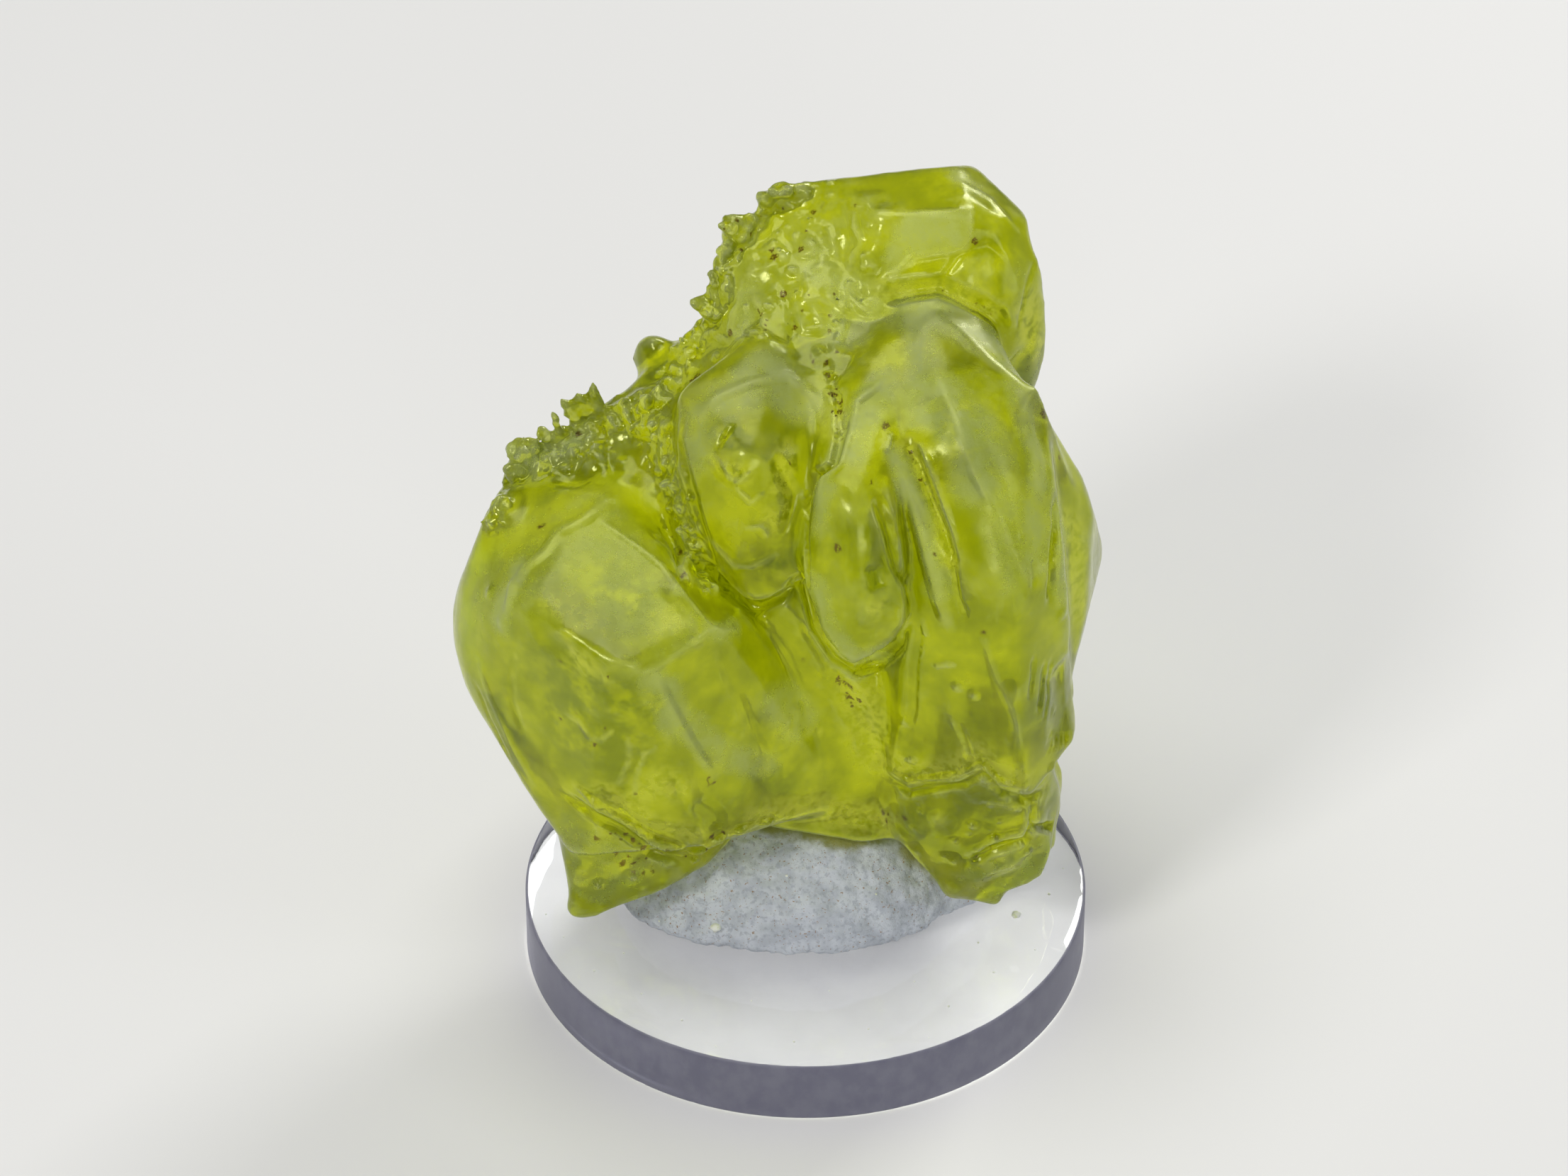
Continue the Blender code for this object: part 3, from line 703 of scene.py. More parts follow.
# How the strokes of relief fade and vary.
reliefFeel = {
    "slitFall": 1.3,
    "endShare": 0.16,  # the share of the length in which each end fades out
    "endFloor": 0.15,
    "variation": 0.15,
    "variationSize": 0.7,
    "raggedBase": 0.8,
    "raggedVariation": 1.1,
    "raggedSize": 0.42,
}


def carve(points, normals, surface):
    feel = reliefFeel
    for kind, reach, rise, path in relief:
        trail = trailOn(surface, path)
        if not len(trail):
            print("  no surface under", kind, path[0])
            continue
        near, apart, along = besideTrail(points, trail, reach)
        if kind == "slit":
            profile = (1 - apart / reach) ** feel["slitFall"]
        else:
            profile = (1 - (apart / reach) ** 2) ** 2
        if kind != "bump":
            fade = np.minimum(along, 1 - along) / feel["endShare"]
            profile = profile * np.clip(feel["endFloor"] + fade, 0, 1)
            profile = profile * (1 + feel["variation"] * grainNoise(points[near], feel["variationSize"], 17))
        if kind == "ragged":
            broken = feel["raggedVariation"] * grainNoise(points[near], feel["raggedSize"], 19)
            profile = profile * (feel["raggedBase"] + broken)
        points[near] += (rise * profile)[:, None] * normals[near]
    return points


def makeSulfurMesh():
    shape = sulfurShape
    source = nodeMesh("sulfur_cluster")
    plain = surfaceOf(source)
    filled = bmesh.new()
    filled.from_mesh(source)
    for place, radius in infill:
        bmesh.ops.create_icosphere(filled, subdivisions=3, radius=radius, matrix=Matrix.Translation(place))
    for corners in infillBlocks:
        block = bmesh.new()
        hull = bmesh.ops.convex_hull(block, input=[block.verts.new(corner) for corner in corners])
        bmesh.ops.delete(block, geom=hull["geom_interior"] + hull["geom_unused"], context="VERTS")
        joinSolid(filled, block)
    # the large forms, rounded where the crystals are rounded
    mesh = worked(meshOf(filled, "filled"), "REMESH", mode="VOXEL", voxel_size=shape["coarseVoxel"])
    points = rowsOf(mesh)
    pairs = edgesOf(mesh)
    rough = strokeShare(points, plain, druseStrokes)
    rounded = strokeShare(points, plain, roundStrokes) * (1 - rough)
    crisp = strokeShare(points, plain, crispStrokes)
    held = shape["softHold"] * np.maximum(rough, shape["crispHold"] * crisp)
    points = relax(points, pairs, 0.5 * (1 - held), shape["softEdge"])
    points = relax(points, pairs, 0.5 * rounded, shape["roundForms"])
    writePoints(mesh, points)
    report(f"large forms rounded, {len(points)} points")
    # small crystals join them in a finer mesh
    crystals = bmesh.new()
    crystals.from_mesh(mesh)
    growDruse(crystals, surfaceOf(mesh))
    mesh = worked(meshOf(crystals, "together"), "REMESH", mode="VOXEL", voxel_size=shape["fineVoxel"])
    pairs = edgesOf(mesh)
    points = relax(rowsOf(mesh), pairs, 0.5, shape["fineRounds"])
    writePoints(mesh, points)
    report(f"fine mesh, {len(points)} points")
    # relief, then the unevenness that every natural face has
    surface = surfaceOf(mesh)
    points = carve(points, rowsOf(mesh, "normal"), surface)
    writePoints(mesh, points)
    normals = rowsOf(mesh, "normal")
    broken = strokeShare(points, surface, brokenStrokes)
    druse = strokeShare(points, surface, druseStrokes)
    lift = shape["waveHeight"] * layeredNoise(points, shape["waveSize"], 3, 2)
    lift += shape["rippleHeight"] * layeredNoise(points, shape["rippleSize"], 9, 2)
    lift += broken * shape["brokenHeight"] * layeredNoise(points, shape["brokenSize"], 21, 3)
    ground = np.flatnonzero(druse > shape["patchRim"])
    leaning = points[ground] @ leanAlong(shape["druseLean"], shape["druseLength"])
    large, small = shape["pebbleSizes"]
    bumps = pebbles(leaning, large, 41) + 0.45 * pebbles(leaning, small, 47)
    lift[ground] += shape["pebbleHeight"] * druse[ground] * (bumps - 0.6)
    waxy = strokeShare(points, surface, waxyStrokes, 1)
    ground = np.flatnonzero(waxy > shape["patchRim"])
    large, small = shape["waxySizes"]
    swells = pebbles(points[ground], large, 61) + 0.5 * layeredNoise(points[ground], small, 67, 2)
    lift[ground] += shape["waxyHeight"] * waxy[ground] * (swells - 0.5)
    ground = np.flatnonzero(broken > shape["patchRim"])
    large, small = shape["lumpSizes"]
    lumps = pebbles(points[ground], large, 51) + 0.25 * pebbles(points[ground], small, 57)
    lift[ground] += shape["lumpHeight"] * broken[ground] * (lumps - 0.6)
    points += lift[:, None] * normals
    points = relax(points, pairs, 0.5, 1)
    writePoints(mesh, points)
    report("relief carved")
    mesh = thinned(mesh, shape["triangles"])
    dropLooseShells(mesh)
    report(f"thinned to {len(mesh.polygons)} faces")
    return mesh


# Masks say what lies where on the crystals, from 0 to 1, and the material reads them. Strokes give their
# reach in mm and a path in frame pixels.
# Frosted faces, paler also by a painted sheen of light.
frostAndSheenStrokes = drawn([
    (1.6, "1030,560 1080,530 1130,560"),
    (1.2, "980,590 985,640"),
    (1.1, "1240,545 1212,590 1196,640"),
    (0.8, "1160,690 1152,740"),
    (0.8, "1150,830 1168,885 1205,930 1250,915"),
    (1.6, "1290,440 1340,440 1400,480 1440,530"),
    (1.0, "1300,470 1296,530 1310,590"),
    (1.0, "1445,550 1452,610 1464,650 1466,720 1460,790"),
    (1.4, "1330,560 1350,600 1380,690"),
    (1.2, "1150,360 1180,400 1220,430 1190,470"),
    (0.7, "1266,650 1290,710 1308,770 1326,840"),
    (1.3, "1100,990 1130,1020"),
    (1.0, "1058,400 1046,460"),
    (0.8, "720,650 770,640 830,610"),
    (0.9, "930,951 949,1008 1000,1059 1082,1084"),
    (0.6, "1000,885 1020,888 1040,886"),
    (0.9, "730,800 712,850 700,880"),
    (0.6, "1485,700 1500,760 1500,850"),
])
# Frosted crystal faces, paler also by a painted sheen of light: strength, softness of the rim, outline.
frostAndSheenPatches = drawn([
    (0.35, 0.35, "841,709 873,711 917,774 962,837 1002,884 981,907 924,936 892,947 850,914 800,884 "
     "750,872 720,862 731,818 772,771 803,749"),
    (1.0, 0.20, "1279,302 1370,296 1368,337 1361,352 1289,363 1262,388 1245,393 1254,340 1261,318"),
    (0.8, 0.20, "1340,238 1354,240 1386,263 1400,281 1373,270 1343,256"),
    (0.7, 0.60, "1366,560 1400,590 1432,650 1446,740 1440,800 1420,830 1392,740 1360,650"),
    (0.25, 0.40, "1440,330 1456,380 1448,420 1428,440 1424,372"),
    (0.3, 0.60, "690,760 720,730 800,700 850,690 880,700 840,712 800,750 735,815 700,870 670,900 655,850"),
    (0.2, 0.60, "1050,310 1150,290 1240,300 1240,440 1190,520 1100,480 1020,430"),
    (0.4, 0.50, "790,1150 830,1165 900,1200 960,1215 900,1255 830,1295 800,1270"),
    (0.3, 0.40, "1348,1240 1360,1220 1390,1208 1440,1192 1486,1188 1474,1238 1422,1268 1384,1275"),
])
# Painted shade over parts of the crystals that are darker as a whole: strength, softness of the rim, outline.
paintedShadePatches = drawn([
    (0.60, 0.6, "1262,1125 1300,1112 1440,1112 1490,1110 1490,1164 1440,1190 1350,1222 1290,1190"),
    (0.80, 0.5, "1348,1240 1360,1220 1390,1208 1440,1192 1486,1188 1474,1238 1422,1268 1384,1275"),
    (0.70, 0.8, "735,890 800,895 900,955 935,1010 925,1090 860,1120 780,1080 740,980"),
    (0.50, 0.5, "1436,345 1470,360 1478,470 1466,535 1430,480 1440,420"),
    (0.45, 0.5, "760,1130 830,1150 900,1190 960,1210 900,1250 830,1290 790,1270"),
    (0.30, 0.7, "1060,1050 1120,1030 1210,1070 1220,1150 1100,1145 1050,1120"),
    (0.50, 0.5, "1376,300 1440,320 1456,380 1448,430 1424,470 1380,430 1320,410 1330,365 1370,345"),
    (0.35, 0.5, "1150,700 1240,700 1262,760 1284,860 1250,920 1190,920 1150,860 1140,780"),
    (0.30, 0.7, "1310,860 1400,860 1440,960 1430,1050 1330,1040 1300,960"),
])
# Painted shade: deep, dark places where the crystals are clearest.
paintedShadeStrokes = drawn([
    (1.8, "868,832 900,845"),
    (1.8, "815,960 860,975 920,1000"),
    (1.2, "800,985 812,1000"),
    (1.2, "1022,612 1035,625"),
    (1.2, "1110,780 1080,810"),
    (1.3, "1244,833 1240,850"),
    (1.6, "1360,600 1380,650"),
    (1.0, "1330,585 1350,600"),
    (1.3, "1470,950 1468,1010"),
    (1.2, "1085,1100 1110,1110"),
    (0.9, "925,500 930,520"),
    (1.0, "700,990 732,1044"),
    (1.2, "1440,420 1455,480"),
    (0.8, "805,625 830,600"),
])
# Painted glow: places where light gathers inside and the yellow is strongest.
paintedGlowStrokes = drawn([
    (0.8, "780,845 795,850"),
    (0.9, "812,880 826,878"),
    (0.9, "930,878 950,868"),
    (1.0, "905,1120 930,1100 960,1120"),
    (1.2, "1070,1160 1150,1147 1240,1152"),
    (0.8, "1017,651 1045,672"),
    (0.7, "1225,860 1240,862"),
    (0.9, "1290,640 1320,710 1345,790"),
    (1.0, "1250,412 1340,408 1400,440"),
    (1.3, "1450,440 1462,500"),
    (1.0, "1160,560 1180,600"),
    (0.9, "820,930 830,945"),
    (1.4, "1215,980 1240,1060"),
    (1.0, "1510,740 1530,860"),
    (0.9, "1110,640 1090,740"),
    (0.9, "700,1120 760,1180"),
    (0.8, "1249,1072 1300,1086 1350,1078 1385,1062 1416,1086 1451,1096"),
    (0.8, "850,1118 890,1142 930,1164 980,1180"),
])
# Painted glints: thin bright lines and flecks inside the crystals.
paintedGlintStrokes = drawn([
    (0.16, "802,1009 810,1027 817,1017 832,1040 848,1044 867,1028"),
    (0.12, "886,1036 888,1071 871,1109"),
    (0.14, "926,1054 909,1064 897,1098 894,1128"),
    (0.16, "728,925 723,960"),
    (0.18, "800,932 808,942 816,951"),
    (0.20, "854,958 866,966 879,970"),
    (0.14, "668,960 690,1015 725,1080"),
    (0.20, "786,848 790,854"),
    (0.22, "820,864 828,870 841,869"),
    (0.35, "930,872 945,868"),
    (0.22, "978,905 984,903"),
    (0.20, "1017,651 1028,673 1042,680 1062,662"),
    (0.16, "1040,690 1059,709 1080,692"),
    (0.18, "1105,812 1118,800 1128,806"),
    (0.22, "1222,852 1230,862"),
    (0.16, "1250,815 1256,832"),
    (0.16, "1063,1091 1085,1084"),
    (0.20, "1113,1008 1126,1021"),
    (0.20, "1156,1030 1162,1036"),
    (0.22, "1308,688 1318,716 1332,760 1344,802"),
    (0.14, "1346,804 1351,842 1366,877"),
])
dirtSpots = [
    (964, 812), (960, 780), (1184, 962), (1202, 996), (860, 1192), (1004, 1180), (762, 740), (766, 744),
    (1000, 1098), (1005, 1106), (900, 1190), (908, 1196), (892, 1186), (1165, 512), (1168, 530),
    (1177, 557),
    (1182, 568), (1185, 581), (1251, 599), (1494, 645), (1472, 583), (1375, 340), (1105, 415), (1122, 462),
    (1098, 460), (983, 532), (978, 536), (1160, 290), (1206, 290), (1171, 467), (1130, 352), (1088, 352),
    (1092, 362), (1060, 330), (1146, 300), (816, 612), (1137, 930), (1182, 775), (1030, 470), (1075, 1190),
]
# Fine specks: how many, how far they stray in pixels, path.
dirtTrails = drawn([
    (26, 5, "1163,508 1168,528 1176,552 1182,575 1182,608"),
    (30, 16, "850,1196 880,1200 915,1210"),
    (12, 8, "1255,1150 1278,1165"),
    (14, 6, "1180,955 1205,998"),
    (22, 60, "1060,330 1110,400 1160,460"),
    (10, 10, "755,735 770,745"),
    (20, 90, "760,900 860,1000 1000,1100"),
    (16, 60, "1200,600 1350,600 1400,900"),
    (8, 30, "900,1180 1000,1170"),
])

# How the masks come out of the shape.
maskFeel = {
    "bendStart": 0.004,  # bends below this are left plain
    "bendRange": 0.012,
    "crestReach": 0.6,  # share of a ridge's reach
    "crestShare": 0.8,
    "crestVariation": (0.6, 0.4, 0.8),  # base, variation and its size
    "raggedReach": 0.32,
    "raggedPlain": 0.85,  # how far the pale edges and their painted highlight are taken off ragged crests
    "raggedPaintedGlow": 0.8,
    "strayHeight": 0.35,  # how far the borders of masks wander, and over what distance
    "straySize": 1.2,
    "fleckBase": 0.35,
    "fleckVariation": 1.1,
    "fleckSize": 0.32,
    "waxyShare": 0.75,
    "dirtReach": (0.07, 0.2),
    "speckReach": (0.05, 0.10),
}


def paintMasks(mesh):
    feel = maskFeel
    surface = surfaceOf(mesh)
    points = rowsOf(mesh)
    normals = rowsOf(mesh, "normal")
    pairs = edgesOf(mesh)
    # outward bends are positive, hollows negative
    bend = ((points - neighbourMean(points, pairs)) * normals).sum(axis=1)
    bend = neighbourMean(bend, pairs)
    crests = [(feel["crestReach"] * reach, path) for kind, reach, rise, path in relief if kind == "ridge"]
    base, variation, size = feel["crestVariation"]
    lines = strokeShare(points, surface, crests, 1) * (base + variation * grainNoise(points, size, 61))
    ragged = [(feel["raggedReach"], path) for kind, reach, rise, path in relief if kind == "ragged"]
    crumbling = strokeShare(points, surface, ragged, 1)
    stray = [grainNoise(points, feel["straySize"], 71 + axis) for axis in range(3)]
    uneven = points + feel["strayHeight"] * np.stack(stray, axis=1)
    # pale frosted edges with a painted highlight, on outward bends and along ridge crests
    outwards = np.maximum((bend - feel["bendStart"]) / feel["bendRange"], feel["crestShare"] * lines)
    writeShare(mesh, "edge", np.clip(outwards, 0, 1) * (1 - feel["raggedPlain"] * crumbling))
    # brown dust with painted shade in the hollows
    writeShare(mesh, "hollowDustAndShade", np.clip((-bend - feel["bendStart"]) / feel["bendRange"], 0, 1))
    # frost with a painted sheen, and painted shade where the crystals look deep and dark
    grounds = (("frostAndSheen", frostAndSheenStrokes, frostAndSheenPatches, points), ("paintedShade", paintedShadeStrokes, paintedShadePatches, uneven))
    for name, strokes, patches, spots in grounds:
        share = strokeShare(uneven, surface, strokes, 1)
        for strength, soft, outline in patches:
            share = np.maximum(share, strength * patchShare(spots, normals, surface, outline, soft))
        writeShare(mesh, name, share)
    # painted glow where light gathers inside, and along the ragged crests
    paintedGlow = strokeShare(uneven, surface, paintedGlowStrokes, 1)
    writeShare(mesh, "paintedGlow", np.maximum(paintedGlow, feel["raggedPaintedGlow"] * crumbling))
    # painted glints, broken into flecks
    flecks = feel["fleckBase"] + feel["fleckVariation"] * layeredNoise(points, feel["fleckSize"], 83, 2)
    writeShare(mesh, "paintedGlint", np.clip(flecks, 0, 1) * strokeShare(points, surface, paintedGlintStrokes, 1))
    waxy = strokeShare(points, surface, waxyStrokes, 1)
    druse = strokeShare(points, surface, druseStrokes)
    writeShare(mesh, "druse", np.maximum(druse, feel["waxyShare"] * waxy))
    chance = random.Random(sulfurShape["seed"] + 1)
    dirt = [(chance.uniform(*feel["dirtReach"]), [spot]) for spot in dirtSpots]
    for count, width, path in dirtTrails:
        for _ in range(count):
            leg = chance.randrange(len(path) - 1)
            share = chance.random()
            spot = [a + share * (b - a) + chance.gauss(0, width) for a, b in zip(path[leg], path[leg + 1])]
            dirt.append((chance.uniform(*feel["speckReach"]), [spot]))
    writeShare(mesh, "dirt", strokeShare(points, surface, dirt))
    report("masks painted")


def newMaterial(name):
    material = bpy.data.materials.new(name)
    material.use_nodes = True
    tree = material.node_tree
    return material, tree, tree.nodes["Principled BSDF"]


# Fills a node's inputs: an output is linked, a number or colour is written in.
def feed(tree, node, values):
    for name, value in values.items():
        socket = node.inputs[name]
        if hasattr(value, "is_linked"):
            tree.links.new(value, socket)
        elif isinstance(value, tuple) and len(value) == 3 and socket.type == "RGBA":
            socket.default_value = (*value, 1)
        else:
            socket.default_value = value
    return node


def addNode(tree, kind, settings, values):
    node = tree.nodes.new("ShaderNode" + kind)
    for name, value in settings.items():
        setattr(node, name, value)
    return feed(tree, node, values)


def mixColours(tree, share, under, over):
    settings = {"data_type": "RGBA", "blend_type": "MIX"}
    return addNode(tree, "Mix", settings, {0: share, 6: under, 7: over}).outputs[2]


# Turns values between low and high into values between least and most, with soft ends.
def spread(tree, value, low, high, least=0.0, most=1.0):
    values = {0: value, 1: low, 2: high, 3: least, 4: most}
    return addNode(tree, "MapRange", {"interpolation_type": "SMOOTHSTEP"}, values).outputs[0]


def combine(tree, kind, first, second):
    return addNode(tree, "Math", {"operation": kind}, {0: first, 1: second}).outputs[0]


def times(tree, value, *shares):
    for share in shares:
        value = combine(tree, "MULTIPLY", value, share)
    return value


def maskOf(tree, name):
    return addNode(tree, "Attribute", {"attribute_name": name}, {}).outputs["Fac"]


def noiseOver(tree, place, scale, **values):
    values = {"Vector": place, "Scale": scale, "Detail": 3.0, **values}
    return addNode(tree, "TexNoise", {}, values).outputs["Fac"]


def bumpOf(tree, height, strength, distance):
    values = {"Height": height, "Strength": strength, "Distance": distance * mm}
    return addNode(tree, "Bump", {}, values).outputs["Normal"]


# Fine grain over any surface: a value from 0 to 1, with a size in metres and a contrast.
def makeGrainGroup():
    group = bpy.data.node_groups.new("fineGrain", "ShaderNodeTree")
    for name, way, value in (("Size", "INPUT", 0.0002), ("Contrast", "INPUT", 1), ("Value", "OUTPUT", 0)):
        group.interface.new_socket(name, in_out=way, socket_type="NodeSocketFloat").default_value = value
    inward = group.nodes.new("NodeGroupInput")
    outward = group.nodes.new("NodeGroupOutput")
    place = addNode(group, "TexCoord", {}, {}).outputs["Object"]
    frequency = combine(group, "DIVIDE", 1.0, inward.outputs["Size"])
    centred = combine(group, "SUBTRACT", noiseOver(group, place, frequency, Roughness=0.6), 0.5)
    scaled = times(group, centred, inward.outputs["Contrast"])
    group.links.new(combine(group, "ADD", scaled, 0.5), outward.inputs["Value"])
    return group


grainGroup = makeGrainGroup()


# The group placed in a material, with its size in millimetres.
def grain(tree, size, contrast=1.0):
    node = addNode(tree, "Group", {"node_tree": grainGroup}, {"Size": size * mm, "Contrast": contrast})
    return node.outputs["Value"]


def grains(tree, look, *names):
    return [grain(tree, *look[name]) for name in names]


# The look of the sulfur. Grain is given as size in mm and contrast.
sulfurLook = {
    "bodyColour": (0.475, 0.53, 0.003),
    "brightColour": (0.76, 0.81, 0.006),
    "paintedGlowColour": (0.95, 0.98, 0.10),
    "darkVeinAndShadeColour": (0.19, 0.25, 0.01),
    "frostAndSheenColour": (0.70, 0.78, 0.38),
    "druseColour": (0.66, 0.72, 0.24),
    "edgeFrostAndHighlightColour": (0.84, 0.90, 0.45),
    "dirtAndShadeColour": (0.14, 0.065, 0.015),
    "clouds": (2.6, 1.6),
    "veins": (1.1, 2.0),
    "stipple": (0.08, 1.6),
    "skin": (0.45, 1.5),
    "dustAndShade": (0.25, 2.5),
    "veinShare": 0.2,
    "paintedGlowShare": 0.85,
    "paintedGlintShare": 0.8,
    "paintedShadeShare": 0.75,
    "druseShare": 0.55,
    "frostAndSheenShare": 0.85,
    "edgeFrostAndHighlightShare": 0.7,
    "dustAndShadeShare": 0.8,
    "roughness": (0.13, 0.25),
    "frostRoughness": 0.22,  # added where the frost lies
    "druseGloss": 0.12,  # taken off on druse
    "bumpStrength": 0.3,
    "bumpDepth": 0.025,
    "transmission": 0.7,
    "refraction": 1.47,
    "specular": 0.5,
    "shineColour": (0.85, 0.90, 0.42),
    "depthColour": (0.93, 0.945, 0.02),
    "depthDensity": 290.0,
}


def makeSulfurMaterial():
    look = sulfurLook
    material, tree, shader = newMaterial("sulfur")
    clouds, veins, stipple, skin, crumbs = grains(tree, look, "clouds", "veins", "stipple", "skin", "dustAndShade")
    # the body, lighter and darker by clouds and veins
    colour = mixColours(tree, spread(tree, clouds, 0.3, 0.75), look["bodyColour"], look["brightColour"])
    darker = times(tree, spread(tree, veins, 0.55, 0.8), look["veinShare"])
    colour = mixColours(tree, darker, colour, look["darkVeinAndShadeColour"])
    # painted shade in the clear depths, then painted glow and painted glints
    paintedShade = times(tree, maskOf(tree, "paintedShade"), spread(tree, veins, 0.25, 0.6), look["paintedShadeShare"])
    colour = mixColours(tree, paintedShade, colour, look["darkVeinAndShadeColour"])
    paintedGlow = times(tree, maskOf(tree, "paintedGlow"), spread(tree, skin, 0.3, 0.6), look["paintedGlowShare"])
    paintedGlint = times(tree, maskOf(tree, "paintedGlint"), look["paintedGlintShare"])
    colour = mixColours(tree, combine(tree, "MAXIMUM", paintedGlow, paintedGlint), colour, look["paintedGlowColour"])
    # paler druse, frosted faces with a painted sheen, and pale edges with a painted highlight
    druse = maskOf(tree, "druse")
    whiter = times(tree, druse, look["druseShare"], spread(tree, skin, 0.35, 0.6))
    colour = mixColours(tree, whiter, colour, look["druseColour"])
    frostAndSheenVeil = times(tree, maskOf(tree, "frostAndSheen"), spread(tree, veins, 0.25, 0.75, 0.55, 1.0))
    frostAndSheenVeil = times(tree, frostAndSheenVeil, spread(tree, stipple, 0.25, 0.7, 0.8, 1.0))
    colour = mixColours(tree, times(tree, frostAndSheenVeil, look["frostAndSheenShare"]), colour, look["frostAndSheenColour"])
    # pale frosted edges with a painted highlight
    edgeFrostAndHighlight = times(tree, maskOf(tree, "edge"), look["edgeFrostAndHighlightShare"])
    colour = mixColours(tree, edgeFrostAndHighlight, colour, look["edgeFrostAndHighlightColour"])
    # brown specks, and brown dust with painted shade in the hollows
    specks = times(tree, spread(tree, maskOf(tree, "dirt"), 0.15, 0.5), spread(tree, stipple, 0.3, 0.5))
    dustAndShade = times(tree, maskOf(tree, "hollowDustAndShade"), spread(tree, crumbs, 0.82, 0.95), look["dustAndShadeShare"])
    colour = mixColours(tree, combine(tree, "MAXIMUM", specks, dustAndShade), colour, look["dirtAndShadeColour"])
    rough = spread(tree, skin, 0.2, 0.8, *look["roughness"])
    rough = combine(tree, "ADD", rough, times(tree, frostAndSheenVeil, look["frostRoughness"]))
    rough = combine(tree, "SUBTRACT", rough, times(tree, druse, look["druseGloss"]))
    height = combine(tree, "ADD", times(tree, stipple, 0.2), times(tree, skin, 0.8))
    feed(tree, shader, {
        "Base Color": colour,
        "Roughness": rough,
        "Normal": bumpOf(tree, height, look["bumpStrength"], look["bumpDepth"]),
        "Transmission Weight": look["transmission"],
        "IOR": look["refraction"],
        "Specular IOR Level": look["specular"],
        "Specular Tint": look["shineColour"],
    })
    values = {"Color": look["depthColour"], "Density": look["depthDensity"]}
    depth = addNode(tree, "VolumeAbsorption", {}, values)
    tree.links.new(depth.outputs["Volume"], tree.nodes["Material Output"].inputs["Volume"])
    return material


# The putty: its shape in millimetres, and its look.
puttyShape = {
    "voxel": 0.11,
    "triangles": 60000,
    "rounds": 6,
    "swell": 0.36,  # brings the putty up against the crystals and the disc
    "lumpHeight": 0.16,
    "lumpSize": 1.6,
    "crumbHeight": 0.06,
    "crumbSize": 0.28,
    "discTop": 3.0,
    "discGap": 0.005,
    "stainAndShadeReach": 0.9,  # how far from the crystals the putty is stained and has painted shade
}
puttyLook = {
    "colour": (0.66, 0.70, 0.75),
    "shadeColour": (0.30, 0.335, 0.39),
    "stainAndShadeColour": (0.27, 0.27, 0.03),
    "speckColour": (0.30, 0.17, 0.06),
    "patches": (1.2, 1.8),
    "crumbs": (0.22, 2.0),
    "specks": (0.13, 2.4),
    "pores": (0.07, 1.5),
    "speckShare": 0.8,
    "roughness": 0.78,
    "bumpStrength": 0.4,
    "bumpDepth": 0.05,
}


def makePuttyMesh(crystalSurface):
    shape = puttyShape
    mesh = worked(nodeMesh("mineral_putty"), "REMESH", mode="VOXEL", voxel_size=shape["voxel"])
    pairs = edgesOf(mesh)
    points = relax(rowsOf(mesh), pairs, 0.5, shape["rounds"])
    writePoints(mesh, points)
    normals = relax(rowsOf(mesh, "normal"), pairs, 0.5, shape["rounds"])
    lift = shape["swell"] + shape["lumpHeight"] * layeredNoise(points, shape["lumpSize"], 31, 3)
    lift += shape["crumbHeight"] * layeredNoise(points, shape["crumbSize"], 37, 2)
    points += lift[:, None] * normals
    points[:, 2] = np.maximum(points[:, 2], shape["discTop"] + shape["discGap"])
    writePoints(mesh, points)
    mesh = thinned(mesh, shape["triangles"])
    # an olive stain with painted shade, strongest next to the crystals
    stainAndShade = np.zeros(len(mesh.vertices))
    for index, spot in enumerate(rowsOf(mesh)):
        near = crystalSurface.find_nearest(Vector(spot), shape["stainAndShadeReach"])
        if near[0]:
            stainAndShade[index] = 1 - near[3] / shape["stainAndShadeReach"]
    writeShare(mesh, "stainAndShade", stainAndShade)
    report(f"putty shaped, {len(mesh.polygons)} faces")
    return mesh


def makePuttyMaterial():
    look = puttyLook
    material, tree, shader = newMaterial("putty")
    patches, crumbs, specks, pores = grains(tree, look, "patches", "crumbs", "specks", "pores")
    colour = mixColours(tree, spread(tree, patches, 0.3, 0.75, 0.0, 0.4), look["colour"], look["shadeColour"])
    colour = mixColours(tree, spread(tree, crumbs, 0.2, 0.5, 0.45, 0.0), colour, look["shadeColour"])
    specks = times(tree, spread(tree, specks, 0.8, 0.92), look["speckShare"])
    colour = mixColours(tree, specks, colour, look["speckColour"])
    # olive stain with painted shade near the crystals
    stainAndShade = combine(tree, "ADD", maskOf(tree, "stainAndShade"), spread(tree, patches, 0.2, 0.8, -0.25, 0.15))
    colour = mixColours(tree, spread(tree, stainAndShade, 0.1, 0.75, 0.0, 0.9), colour, look["stainAndShadeColour"])
    height = combine(tree, "ADD", crumbs, pores)
    feed(tree, shader, {
        "Base Color": colour,
        "Roughness": look["roughness"],
        "Normal": bumpOf(tree, height, look["bumpStrength"], look["bumpDepth"]),
    })
    return material


# The disc: its shape in millimetres, and its look.
discShape = {
    "radius": 12.7,
    "thickness": 3.0,
    "topRim": 0.12,
    "footRim": 0.1,
    "rimRound": 0.3,  # how far the middle of a rim's bevel is pushed out
    "rimWidth": 1.2,
    "sides": 360,
    "chipDepth": 0.02,
    "chipShare": 0.12,
    "chippedRows": (1, 2, 8, 9),
    "sawnRows": (3, 8),
    "seed": 7,
}
discLook = {
    "clearColour": (0.90, 0.91, 0.94),
    "clearRoughness": (0.02, 0.04),
    "smears": (3.0, 1.6),
    "smearShare": 0.06,
    "sawnColour": (0.18, 0.18, 0.255),
    "sawnRoughness": (0.42, 0.58),
    "sawnTransmission": 0.32,
    "sawnShare": 0.93,
    "sawMarks": (1400, 1400, 1100),  # how often the marks repeat along each axis in a metre
    "bumpStrength": 0.1,
    "bumpDepth": 0.05,
    "refraction": 1.49,
}


